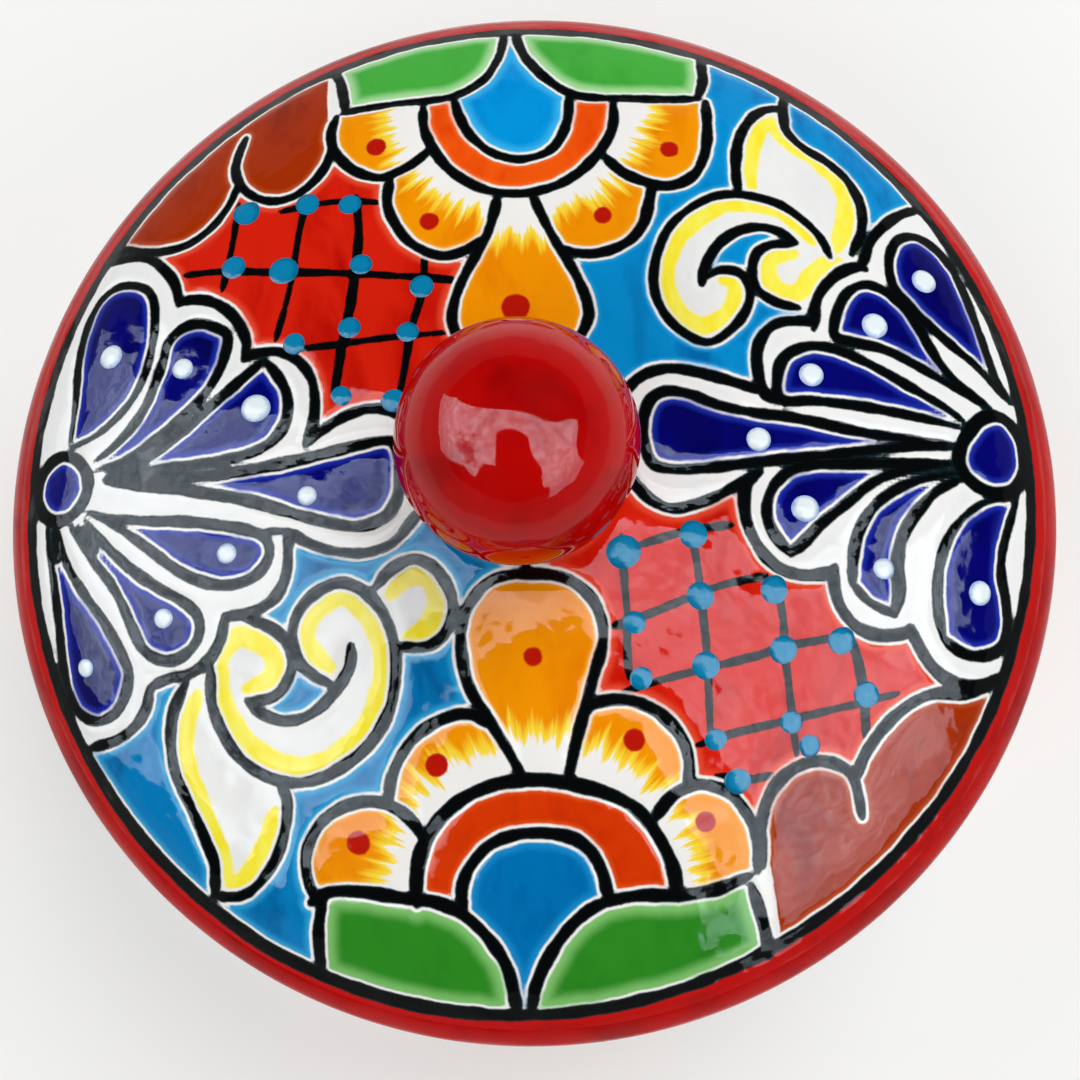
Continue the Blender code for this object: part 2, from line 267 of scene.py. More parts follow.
LEFT_FAN = {
    "ink": [
        (3.0, [(-103, 60), (-98, 59.6), (-93, 59.2), (-88.4, 57.3), (-84, 53.3), (-81.2, 49), (-80, 44)]),
        (3.2, [(-80, 44), (-78, 44.9), (-73, 44.2), (-68.4, 41.6), (-64.7, 37.5), (-62.5, 32.5),
               (-63, 28.3)]),
        (3.0, [(-63, 28.3), (-60, 29.4), (-54.7, 29.4), (-50.2, 27), (-47, 22.5), (-46, 17), (-46.5, 11.6),
               (-48.2, 6.8)]),
        (3.0, [(-48.2, 6.8), (-44.7, 9.8), (-39.3, 13), (-34, 14.5), (-29, 13.8), (-24.5, 11)]),
        (2.6, [(-24.5, 11), (-21, 6), (-20, 0), (-22, -8.5)]),
        (2.8, [(-22, -8.5), (-25.2, -12.4), (-28.4, -15.8), (-34, -17.8), (-40.2, -17.4), (-46.5, -15.5),
               (-52, -12.2)]),
        (3.0, [(-52, -12.2), (-51.8, -17), (-52.5, -22.4), (-55.2, -27), (-60.2, -29.7), (-66.5, -30.3)]),
        (3.0, [(-66.5, -30.3), (-67.3, -35), (-70.2, -39.6), (-74.7, -42.4), (-80.2, -43.4), (-84.5, -45)]),
        (3.0, [(-84.5, -45), (-85.6, -49.6), (-88.8, -53.7), (-94, -56.5), (-101, -58)]),
        # petals, from the top one down
        (2.6, [(-107, 12), (-106.2, 22), (-106.4, 32), (-105.8, 39), (-104.2, 45), (-101.6, 49.4),
               (-97.6, 51.6), (-93.4, 51.4), (-89, 49.4), (-86.6, 45.5), (-85.8, 39.5), (-86.2, 33.5),
               (-87.6, 27), (-90.3, 21.6), (-94.7, 17), (-100, 13.6), (-107, 11.5)]),
        (3.0, [(-99.5, 7.5), (-95.6, 9.8), (-91, 13.6), (-87, 18.8), (-84.7, 24.4), (-83, 30), (-82, 34.4),
               (-78.8, 37.5), (-74.5, 38.4), (-70, 36.8), (-67.2, 34.6), (-67.6, 29.8), (-69.7, 24.4),
               (-73.8, 19), (-79.3, 14.4), (-85.6, 9.8), (-91.1, 7), (-99, 5.2)]),
        (3.0, [(-96.2, 3.5), (-88, 5.6), (-82, 8.9), (-75.6, 13.5), (-70.2, 18), (-65.6, 21.6), (-62, 24.6),
               (-58, 27.7)]),
        (3.0, [(-58, 27.7), (-54.7, 23.5), (-52.5, 19), (-52.5, 13.5), (-55.2, 8.9), (-60.2, 6.2),
               (-67.5, 4.8), (-76.5, 4.2), (-96.6, 3.1)]),
        (3.2, [(-96.8, 2.7), (-85.6, 1.8), (-75, 1.4), (-67.5, 1.5), (-58.4, 2.4), (-49.3, 3.7), (-40.2, 5.4),
               (-31, 7), (-27.8, 6), (-26.8, 2), (-26.8, -2), (-27.6, -6.5), (-30.2, -10.1), (-35.6, -11.9),
               (-42, -11), (-49.3, -8.8), (-58.4, -5.7), (-67.5, -3.3), (-76.5, -1.5), (-85.6, 0),
               (-96.4, 2.2)]),
        (3.0, [(-101, -4.6), (-94.7, -6.3), (-85.6, -7.8), (-76.5, -8.6), (-67.5, -10), (-60.2, -11.8),
               (-56.6, -14.2), (-56.3, -18), (-59.3, -21.7), (-64.7, -23.4), (-71, -22.6), (-77.5, -19.6),
               (-84, -14.8), (-90.2, -10.4), (-96, -6.6), (-100.5, -4.4)]),
        (3.0, [(-101.8, -6), (-95.2, -13.2), (-88.6, -18.9), (-82.2, -23.2), (-75.6, -27), (-72.5, -30.5),
               (-72.8, -35), (-76.5, -38.6), (-81, -39.3), (-85.6, -37), (-88.4, -32.4), (-91.5, -26),
               (-94.7, -21), (-99.3, -15.6), (-103.8, -9.6), (-106, -6.5)]),
        (3.0, [(-110, -6.5), (-106.6, -15.6), (-101.6, -23), (-96, -30), (-91.4, -37.5), (-89.8, -42.4),
               (-91.5, -47.8), (-94.7, -51), (-99.3, -52), (-103.8, -49.6), (-106.5, -44.2), (-108, -37),
               (-108.8, -28.7), (-110, -20.5), (-111.5, -13.3), (-112.5, -6)]),
        (2.4, [(-57, -12), (-52, -12.2)]),
        (3.4, [(-103.4, -7.4), (-100.6, -10.8), (-98.4, -13.8)]),
        (2.8, [(-110.8, -7), (-109.9, -11), (-109.1, -15)]),
        # hub
        (3.6, [(-101, 2), (-102.3, 6), (-105.5, 9), (-109.5, 9.8), (-113.3, 8), (-115.5, 4.5), (-115.7, 0),
               (-113.8, -3.6), (-110, -5.6), (-105.8, -5), (-102.3, -2), (-101, 2)]),
    ],
    "fields": [(-96, 40, "cobalt"), (-76, 30, "cobalt"), (-60, 15, "cobalt"), (-42, -2, "cobalt"),
               (-70, -15, "cobalt"), (-82, -30, "cobalt"), (-100, -38, "cobalt"), (-108.5, 2, "cobalt")],
    "meet": (-108.5, 2, 34.0),
    "pearls": [(-97, 33, 3.1), (-77.8, 27.5, 2.8), (-59.7, 16.3, 3.2), (-47.5, -4.5, 2.3), (-66, -16.5, 2.3),
               (-81, -30, 2.3), (-101, -40, 2.3)],
}

RIGHT_SCROLL = {
    "ink": [
        (3.0, [(52, 65), (52, 72), (53.2, 79.3), (56, 85.6), (60.4, 90.2), (66, 92.2)]),
        (3.0, [(66.7, 96), (65.7, 89), (65.9, 84), (69.5, 79.3), (75, 75.4), (79.5, 70), (81.7, 63),
               (80.8, 55.8), (77.6, 49.8)]),
        (2.6, [(72.4, 48.8), (70.4, 54), (66.7, 58.4), (61.3, 62.5), (54, 64.6), (46.7, 64.3), (40.4, 61),
               (35, 55.6), (31.8, 48.4), (30.8, 41), (32.6, 34.7), (36.7, 29.8), (42.5, 27.2), (48.3, 31),
               (51.7, 35.6), (52.6, 40.2), (50.4, 44.2), (46, 44.9), (43.5, 43.5)]),
        (3.0, [(41.7, 41.5), (42.7, 45.6), (45.8, 51), (50.4, 54.7), (55.8, 56.1), (60.4, 55.2),
               (64.5, 52.3)]),
        (2.8, [(64, 52), (58.5, 51.5), (55, 49.3), (53.5, 44.7), (54.5, 40), (58.5, 37), (63.5, 35.7)]),
        (2.4, [(78.5, 47), (74.5, 45), (70.5, 41.6), (67.7, 37), (66, 34.5)]),
    ],
    "bare": [(0.8, [(63, 35.8), (67, 35)]), (0.8, [(77.6, 49.8), (80, 47)])],
    "yellow": [
        (2.6, [(55.4, 66.5), (55.4, 73), (56.8, 78.4), (59, 83.8), (62.4, 87)]),
        (3.0, [(62.6, 87), (65, 82), (68.5, 78.4), (73, 74.6), (76.7, 69.3), (77.6, 63), (76.3, 56.5),
               (74, 51)]),
        (2.8, [(68.5, 53), (65, 57.5), (59.5, 61), (53, 62), (46.7, 61), (41.3, 57.4), (36.4, 52),
               (33.7, 44.7), (34.6, 38.4), (36.9, 33.8), (40.6, 31.1), (45.8, 32.9), (49, 36.6), (49.4, 41),
               (46.7, 42.4)]),
        (3.0, [(63.5, 49.3), (59.5, 48.4), (56.9, 45.4), (57.8, 41), (61.3, 38.8), (65, 40.2), (67.6, 43.8),
               (72.2, 47.3), (74.5, 47.2)]),
    ],
    "fields": [(25, 45, "sky"), (52, 96, "sky"), (85, 76, "sky"), (57, 34, "sky"), (48, 48, "sky"),
               (62, 75, "cream"), (38, 48, "cream"), (60, 44, "cream")],
}

LEFT_SCROLL = {
    "ink": [
        (3.2, [(-75.5, -44.2), (-78.8, -50.5), (-79.7, -57), (-78.8, -64.2), (-75.6, -71.5), (-72.5, -78.7),
               (-70.8, -84.2), (-71.5, -91)]),
        (2.8, [(-72, -91), (-65.6, -91), (-61, -88.5), (-56.6, -83.3), (-53.9, -77), (-53, -70.5),
               (-54.5, -66.3)]),
        (3.0, [(-69.7, -41.5), (-69.7, -48.7), (-67.5, -55), (-63, -61.4), (-56.5, -65.4), (-49.3, -66.5),
               (-42, -64.2), (-34.8, -59.2), (-30.2, -52.4), (-28.4, -45), (-28.4, -38.7), (-30.2, -32.4),
               (-34, -27), (-39.3, -24.2), (-44.7, -25.5), (-49.3, -29.6), (-51, -35), (-49.7, -40.4),
               (-46.5, -43.7), (-42.5, -46)]),
        (3.0, [(-38, -37.8), (-38.4, -42.4), (-42, -47.8), (-47.5, -52.2), (-53, -53.3), (-58.4, -51.5),
               (-61.5, -48.6)]),
        (2.9, [(-61.2, -48.6), (-56.5, -48.5), (-53, -46), (-51.2, -41.5), (-52, -37), (-55.6, -33.3),
               (-61.5, -31)]),
        (3.0, [(-32.5, -25.5), (-29.3, -22), (-24.7, -19.7), (-20.2, -21.2), (-16.7, -26), (-15.7, -31.5),
               (-18, -36.4), (-22, -38.6), (-28, -38.3)]),
    ],
    "bare": [(0.8, [(-70, -42), (-69, -39.5)]), (0.8, [(-75.5, -44.5), (-70, -42)])],
    "yellow": [
        (2.8, [(-72.7, -47), (-75.4, -52), (-76.2, -58), (-75, -65), (-72, -72.2), (-69.4, -79.6),
               (-67.6, -87)]),
        (2.6, [(-67.4, -88.4), (-64, -87.4), (-61.5, -84), (-57.8, -78), (-55.8, -72.5)]),
        (2.8, [(-67, -40.5), (-67, -46.5), (-64.8, -53), (-59.6, -59), (-52.5, -62.8), (-44, -61.8),
               (-37, -56.8), (-32.3, -49.6), (-31, -42), (-32.3, -35), (-36, -29.8), (-40.2, -27.4),
               (-45.2, -29.8), (-47.8, -34.4), (-46.4, -39), (-42.8, -42.2)]),
        (2.9, [(-67, -40), (-65.2, -36), (-61.8, -34.8), (-56.8, -37.6), (-54.9, -41.4), (-57, -45),
               (-61.5, -46.2)]),
        (2.9, [(-29, -27.2), (-25.6, -23.4), (-21.1, -24.2), (-19.3, -28.7), (-21, -34), (-25.6, -36.6)]),
    ],
    # The sky fields take the darker sky glaze: deeper glaze, and partly painted shade.
    "fields": [(-92, -66, "sky_deep"), (-60, -97, "sky_deep"), (-45, -21, "sky_deep"), (-22, -50, "sky_deep"),
               (-50, -47.6, "sky_deep"),
               (-68, -72, "cream"), (-50, -58, "cream"), (-24, -30, "cream"), (-60, -40, "cream")],
}

LEFT_CORNER = {
    "ink": [
        (2.6, [(-100, 62.5), (-96, 62.3), (-91, 60.4), (-85, 59.3), (-78.5, 60.3), (-72.5, 64.5), (-69, 70),
               (-67.3, 75.5)]),
        (2.8, [(-67, 90), (-68.3, 84), (-68.4, 79), (-66, 74), (-62, 70.4), (-57, 68.8), (-52, 70),
               (-47, 74.4), (-44.4, 80), (-43.8, 86)]),
    ],
    "bare": [(1.0, [(-43.8, 86), (-45, 97), (-46, 108)])],
    "fields": [(-82, 72, "rust"), (-57, 88, "rust"), (-48, 56, "red")],
}

RIGHT_CORNER = {
    "ink": [
        (3.0, [(48.6, -87), (48.5, -79), (50.5, -72), (55, -67.2), (61, -65.2), (66.5, -66.5), (69.5, -70),
               (71, -77.5)]),
        (3.0, [(69.5, -69.5), (72, -64), (77, -58), (83, -53.6), (89, -51.6), (96, -52), (104, -49.5)]),
    ],
    "bare": [(1.2, [(48.8, -86), (50, -93), (51.5, -104)])],
    "fields": [(58, -85, "rust"), (85, -62, "rust"), (46, -40, "red")],
}

LEFT_LATTICE = {
    "trail": [
        (1.7, [(-66.5, 69.5), (-67, 60), (-68, 52), (-69, 46)]),
        (1.7, [(-49.5, 67), (-51, 58), (-52, 48), (-53.5, 40), (-55.5, 32)]),
        (2.3, [(-37.5, 67.5), (-36.5, 58), (-37, 49), (-38, 40), (-39.5, 32), (-41, 22), (-41.5, 17)]),
        (1.9, [(-21, 51.5), (-21.5, 42), (-24, 33), (-25.5, 24), (-27, 15.5)]),
        (1.8, [(-56, 65.5), (-48, 66.5), (-40, 66.5), (-31.5, 65.5)]),
        (2.0, [(-79, 51.5), (-68, 51), (-58, 49.5), (-48, 48.5), (-37, 47.2), (-26, 45.8), (-13.5, 44)]),
        (1.7, [(-55, 29.6), (-42, 30), (-32, 30.8), (-22, 31.2), (-16.5, 31.5)]),
    ],
    "knots": [(-64.5, 66, 3.2), (-49, 66.5, 3.0), (-39, 65.5, 2.8), (-66.5, 52, 3.2), (-54.5, 49.5, 3.3),
              (-36, 49.5, 2.8), (-51, 31.5, 2.6), (-38.5, 34, 2.6), (-25, 32, 2.6), (-21.5, 43, 2.6),
              (-40, 18, 2.3), (-28, 16.5, 2.6)],
}

RIGHT_LATTICE = {
    "trail": [
        (1.8, [(21, -16), (21.2, -26), (21.5, -33), (21.2, -41), (21.5, -47)]),
        (1.8, [(36, -15.5), (37, -23), (37.5, -30), (38, -38), (38.2, -45), (38.2, -60)]),
        (1.8, [(54, -26), (55, -35), (55, -42), (55.5, -49), (56, -56), (56.7, -64)]),
        (2.4, [(68, -38), (70.5, -42), (72, -51), (72.2, -60.5)]),
        (1.9, [(24, -18.5), (31, -16.5), (37, -15.2), (45, -14.4)]),
        (1.9, [(18, -35.7), (23, -34.3), (32, -31), (42, -27.5), (52, -25.6)]),
        (1.8, [(20, -49.5), (28, -47.2), (38, -45), (48, -42.8), (57, -40.5), (69, -38.8)]),
        (1.8, [(35, -61.2), (42, -59), (52, -57), (62, -55), (72, -53), (80, -51.3)]),
        (1.8, [(39, -67.5), (46, -68.5), (51.5, -67.7)]),
    ],
    "knots": [(21, -19.5, 3.6), (36.5, -16.5, 3.2), (37.3, -29.5, 3.0), (53.3, -29, 3.0), (23, -35, 2.4),
              (24, -46.5, 2.5), (38, -44.5, 3.0), (54.7, -41.5, 3.2), (67.5, -40, 3.0), (72.8, -51.5, 2.8),
              (39.5, -60, 2.5), (55.6, -56.8, 2.4), (59.5, -61.7, 2.3), (44, -68.5, 2.8)],
}

LID_MOTIFS = [TOP_FLOWER, BOTTOM_FLOWER, RIGHT_FAN, LEFT_FAN, RIGHT_SCROLL, LEFT_SCROLL,
              LEFT_CORNER, RIGHT_CORNER, LEFT_LATTICE, RIGHT_LATTICE]


def linear(red, green, blue):
    """A colour picked as 0 to 255 on a screen, as the shader's own numbers."""
    shares = [value / 255.0 for value in (red, green, blue)]
    return tuple(s / 12.92 if s <= 0.04045 else ((s + 0.055) / 1.055) ** 2.4 for s in shares)


# Each glaze is its main colour, its colour beside a line, and the colour of its thicker patches. EDGE_REACH
# says over how many millimetres from a line the second colour fades out. The darker copies of sky, drop,
# green and vermilion, used on the lower half of the lid, are deeper glaze and partly painted shade: that half
# is darker partly because less light falls on it.
GLAZES = {
    "white": ((241, 242, 241), (243, 244, 244), (233, 234, 234)),
    "cream": ((241, 242, 239), (243, 244, 243), (232, 233, 233)),
    "sky": ((4, 142, 210), (40, 168, 228), (0, 106, 174)),
    "sky_deep": ((4, 124, 188), (52, 168, 220), (0, 88, 148)),
    "drop": ((2, 150, 222), (56, 182, 240), (0, 124, 204)),
    "drop_deep": ((0, 112, 178), (26, 142, 204), (0, 88, 152)),
    "cobalt": ((4, 4, 112), (30, 52, 176), (2, 1, 78)),
    "red": ((218, 32, 12), (236, 82, 52), (186, 10, 2)),
    "orange": ((246, 150, 2), (248, 166, 22), (234, 128, 0)),
    "vermilion": ((242, 88, 12), (248, 112, 40), (228, 62, 4)),
    "vermilion_deep": ((214, 56, 4), (228, 88, 26), (186, 36, 2)),
    "green": ((68, 175, 62), (172, 224, 160), (58, 164, 52)),
    "green_deep": ((46, 138, 34), (132, 198, 112), (38, 126, 28)),
    "rust": ((166, 48, 4), (190, 86, 44), (136, 32, 2)),
    "rim": ((188, 8, 4), (194, 14, 8), (160, 4, 2)),
}
GLAZE_NAMES = list(GLAZES)
EDGE_REACH = {"green": 3.8, "green_deep": 4.2, "drop": 3.4, "drop_deep": 3.0, "cobalt": 2.6, "rust": 2.2,
              "red": 2.8, "sky_deep": 2.6}
PLAIN_EDGE_REACH = 1.9


def smooth_path(points, pitch):
    """Points about a pitch apart on a smooth curve through the given ones."""
    given = np.array(points, dtype=float)
    closed = np.allclose(given[0], given[-1])
    before = given[-2] if closed else 2 * given[0] - given[1]
    after = given[1] if closed else 2 * given[-1] - given[-2]
    knots = np.vstack([before, given, after])
    runs = []
    for start in range(len(given) - 1):
        a, b, c, d = knots[start:start + 4]
        count = max(2, int(np.hypot(*(c - b)) / pitch) + 1)
        t = (np.arange(count) / count)[:, None]
        runs.append(0.5 * (2 * b + (c - a) * t + (2 * a - 5 * b + 4 * c - d) * t ** 2
                           + (3 * b - 3 * c + d - a) * t ** 3))
    return np.vstack(runs + [given[-1:]])


def ring_points(radius, wobble, count=72):
    """A circle drawn by hand: its radius strays by the wobble."""
    turns = 2.0 * math.pi * np.arange(count + 1) / count
    radii = radius + wobble * (np.sin(3 * turns + 0.4) + 0.6 * np.sin(7 * turns + 0.9))
    return np.stack([radii * np.cos(turns), radii * np.sin(turns)], 1)


class Sheet:
    """A flat sheet that the pattern is drawn on: distances from each kind of line, and each field's glaze."""

    def __init__(self, low_x, high_x, low_y, high_y, wraps):
        self.low = (low_x, low_y)
        self.wraps = wraps
        across = (high_x - low_x) / SHEET_PITCH_MM
        up = (high_y - low_y) / SHEET_PITCH_MM
        self.size = (int(round(across)) + (0 if wraps else 1), int(round(up)) + 1)
        self.pitch = ((high_x - low_x) / self.size[0] if wraps else SHEET_PITCH_MM, SHEET_PITCH_MM)
        self.layers = {}
        self.strokes = 0

    def close_gaps(self, kind, half):
        """Fills slits narrower than twice this half width between two strokes of a kind."""
        layer = self.layer(kind)
        near = layer < half
        for axis in (0, 1):
            near = near & np.roll(near, 1, axis) & np.roll(near, -1, axis)
        layer[near] = np.minimum(layer[near], -0.15)

    def layer(self, kind):
        if kind not in self.layers:
            self.layers[kind] = np.full(self.size, FAR_MM)
        return self.layers[kind]

    def stamp(self, kind, x, y, half):
        """Lowers the kind's distances around one round touch of the brush."""
        layer = self.layer(kind)
        at = ((x - self.low[0]) / self.pitch[0], (y - self.low[1]) / self.pitch[1])
        reach = int((half + FAR_MM) / SHEET_PITCH_MM) + 1
        left, right = int(at[0]) - reach, int(at[0]) + reach + 1
        bottom, top = max(0, int(at[1]) - reach), min(self.size[1], int(at[1]) + reach + 1)
        if not self.wraps:
            left, right = max(0, left), min(self.size[0], right)
        if left >= right or bottom >= top:
            return
        columns = np.arange(left, right)
        dx = (columns - at[0]) * self.pitch[0]
        dy = (np.arange(bottom, top) - at[1]) * self.pitch[1]
        distance = np.hypot(dx[:, None], dy[None, :]) - half
        columns = columns % self.size[0]
        layer[columns, bottom:top] = np.minimum(layer[columns, bottom:top], distance)

    def draw(self, kind, width, points, wobble, thin=None):
        """One brush stroke, whose width strays by the wobble. It runs out thinner at its two ends, and
        towards a place where many strokes meet: thin is that place's x, y and reach. A black stroke also
        draws a fence of its full width, which keeps the glazes on its two sides apart."""
        self.strokes += 1
        path = smooth_path(points, 1.5 * SHEET_PITCH_MM)
        along = np.concatenate([[0.0], np.cumsum(np.hypot(*np.diff(path, axis=0).T))])
        phase = 1.7 * self.strokes
        stray = (0.5 * np.sin(along / 2.3 + phase) + 0.35 * np.sin(along / 1.1 + 2.1 * phase)
                 + 0.5 * np.sin(along / 6.1 + 1.3 * phase))
        halves = 0.5 * width * (1.0 + wobble * stray)
        fence = 1.14 * halves
        if not np.allclose(path[0], path[-1]):
            halves *= 0.62 + 0.38 * np.clip(np.minimum(along, along[-1] - along) / (0.9 * width), 0.0, 1.0)
        if thin:
            away = np.hypot(path[:, 0] - thin[0], path[:, 1] - thin[1])
            halves *= 0.5 + 0.5 * np.clip((away - 0.14 * thin[2]) / (0.62 * thin[2]), 0.0, 1.0)
        for (x, y), half, full in zip(path, halves, fence):
            self.stamp(kind, x, y, half)
            if kind == "ink":
                self.stamp("fence", x, y, full)

    def draw_motif(self, motif, place, ink_share, spot_share):
        """All of a motif's strokes, with place() giving the sheet's point of each of its own points."""
        brushes = {"ink": (0.12, 0.88), "bare": (0.0, 1.0), "yellow": (0.14, 1.42), "trail": (0.12, 1.0)}
        thin = None
        if "meet" in motif:
            x, y, reach = motif["meet"]
            middle, edge = place([(x, y), (x + reach, y)])
            thin = (middle[0], middle[1], math.hypot(*(edge - middle)))
        for kind, (wobble, share) in brushes.items():
            for width, points in motif.get(kind, []):
                closed = points[0] == points[-1]
                self.draw(kind, width * share * ink_share, place(points), wobble, None if closed else thin)
        for x, y, radius in motif.get("spots", []):
            spot = place([(x, y)])[0]
            self.stamp("spot", spot[0], spot[1], radius * spot_share)

    def fill(self, seeds):
        """Each field takes the glaze of the seed inside it. A field without a seed stays white."""
        wall = (self.layer("fence") < 0.1) | (self.layer("bare") < 0.0)
        label = np.full(self.size, -1, dtype=np.int16)
        for x, y, glaze in seeds:
            column = int(round((x - self.low[0]) / self.pitch[0])) % self.size[0]
            row = int(round((y - self.low[1]) / self.pitch[1]))
            if wall[column, row]:
                raise ValueError(f"the seed of {glaze} at {x:.1f}, {y:.1f} is on a line")
            label[column, row] = GLAZE_NAMES.index(glaze)
        self.spread(label, ~wall)
        label[(label < 0) & ~wall] = GLAZE_NAMES.index("white")
        self.spread(label, np.ones(self.size, dtype=bool))
        self.label = label

    def spread(self, label, free):
        """Fills the free cells from their neighbours until none is left to fill."""
        changed = True
        while changed:
            changed = False
            for axis, step in ((0, 1), (0, -1), (1, 1), (1, -1)):
                near = np.roll(label, step, axis)
                if axis == 1 or not self.wraps:
                    edge = [slice(None), slice(None)]
                    edge[axis] = 0 if step == 1 else -1
                    near[tuple(edge)] = -1
                take = free & (label < 0) & (near >= 0)
                if take.any():
                    label[take] = near[take]
                    changed = True

    def cells(self, x, y):
        """Sheet coordinates in cells, kept on the sheet."""
        across = (np.asarray(x) - self.low[0]) / self.pitch[0]
        up = np.clip((np.asarray(y) - self.low[1]) / self.pitch[1], 0, self.size[1] - 1.001)
        if not self.wraps:
            across = np.clip(across, 0, self.size[0] - 1.001)
        return across, up

    def distance(self, kind, x, y):
        """Distances from the kind's lines at points of the sheet, blended between cells."""
        layer = self.layer(kind)
        across, up = self.cells(x, y)
        column, row = np.floor(across).astype(int), np.floor(up).astype(int)
        share_x, share_y = across - column, up - row
        here, beside = column % self.size[0], (column + 1) % self.size[0]
        low = layer[here, row] * (1 - share_x) + layer[beside, row] * share_x
        high = layer[here, row + 1] * (1 - share_x) + layer[beside, row + 1] * share_x
        return low * (1 - share_y) + high * share_y

    def glaze(self, x, y):
        """Index of the glaze at points of the sheet."""
        across, up = self.cells(x, y)
        return self.label[np.round(across).astype(int) % self.size[0], np.round(up).astype(int)]


@lru_cache(maxsize=None)
def lid_sheet():
    """The lid's picture, on its plan: +X right and +Y away from the viewer."""
    reach = lid_radius / MM + FAR_MM
    sheet = Sheet(-reach, reach, -reach, reach, False)
    line = ring_points(BORDER_MM, 0.2)
    turns = np.degrees(np.arctan2(line[:, 1], line[:, 0]))
    stray = np.interp(turns, np.arange(12) * 30.0, BORDER_STRAY_MM, period=360)
    line *= 1.0 + stray[:, None] / BORDER_MM
    sheet.draw("ink", BORDER_WIDTH_MM, line, 0.12)
    sheet.draw("ink", THICK_BORDER_WIDTH_MM, line[42:54], 0.05)
    sheet.draw("ink", KNOB_LINE_WIDTH_MM, ring_points(KNOB_LINE_MM, 0.2), 0.12)
    seeds = [(0.0, 0.5 * (BAND_MM + reach), "rim")]
    for motif in LID_MOTIFS:
        sheet.draw_motif(motif, np.array, 1.0, 1.0)
        seeds += motif.get("fields", [])
    sheet.close_gaps("ink", 0.32)
    sheet.fill(seeds)
    return sheet


def wall_place(axis_turn, at_mm, scale):
    """Moves a motif of the lid to the dish's side: its outer end stands on the lower black line, at this
    place along the side. The bow of the lid's border is taken out, so that the motif still meets the line."""
    cosine, sine = math.cos(math.radians(axis_turn)), math.sin(math.radians(axis_turn))

    def place(points):
        x, y = np.array(points, dtype=float).T
        outward = x * cosine + y * sine
        aside = -x * sine + y * cosine
        border = np.sqrt(np.maximum(0.0, BORDER_MM ** 2 - aside ** 2))
        return np.stack([at_mm - scale * aside, WALL_LOW_MM + scale * (border - outward)], 1)

    return place


# Motifs on the dish's side: the lid's motifs it is made of, the turn of its middle on the lid, its place in
# millimetres, and its size and the width of its lines against the lid's
WALL_MOTIFS = [
    ([TOP_FLOWER], 90.0, 30.0, 0.53, 0.72),
    ([RIGHT_SCROLL], 46.0, 72.0, 0.53, 0.68),
    ([RIGHT_FAN], 2.0, 118.0, 0.505, 0.56),
    ([LEFT_CORNER, LEFT_LATTICE], 135.0, 166.0, 0.53, 0.72),
]


def wall_sheet():
    """The dish's side rolled out: X runs round it, and Y up it from the edge of the flat base."""
    sheet = Sheet(0.0, repeat_mm, -FAR_MM, WALL_SHEET_MM, True)
    seeds = [(1.0, WALL_LOW_MM - 4.0, "rim"), (1.0, WALL_HIGH_MM + 4.0, "rim")]
    for height in (WALL_LOW_MM, WALL_HIGH_MM):
        line = [(across, height) for across in np.linspace(0.0, repeat_mm, 24)]
        sheet.draw("ink", WALL_LINE_WIDTH_MM, line, 0.1)
    for motifs, axis_turn, at_mm, scale, ink_share in WALL_MOTIFS:
        place = wall_place(axis_turn, at_mm, scale)
        for motif in motifs:
            sheet.draw_motif(motif, place, ink_share, WALL_SPOT_SHARE)
            seeds += [(*place([(x, y)])[0], glaze) for x, y, glaze in motif.get("fields", [])]
    sheet.close_gaps("ink", 0.3)
    sheet.fill(seeds)
    return sheet


# How strongly a glaze mirrors, as the shader's specular level
PAINT_SPECULAR = 0.14
GLAZE_SPECULAR = 0.18
RIM_SPECULAR = 0.035


def operation(name, swapped=False):
    """A Python operator that makes a math node of this name."""

    def made(self, other):
        first, second = (other, self) if swapped else (self, other)
        return self.tree.math(name, first, second)

    return made


class Value:
    """A node's output. Its sums, differences, products and quotients are math nodes."""

    def __init__(self, tree, socket):
        self.tree = tree
        self.socket = socket

    __add__ = operation("ADD")
    __sub__ = operation("SUBTRACT")
    __rsub__ = operation("SUBTRACT", swapped=True)
    __mul__ = operation("MULTIPLY")
    __truediv__ = operation("DIVIDE")


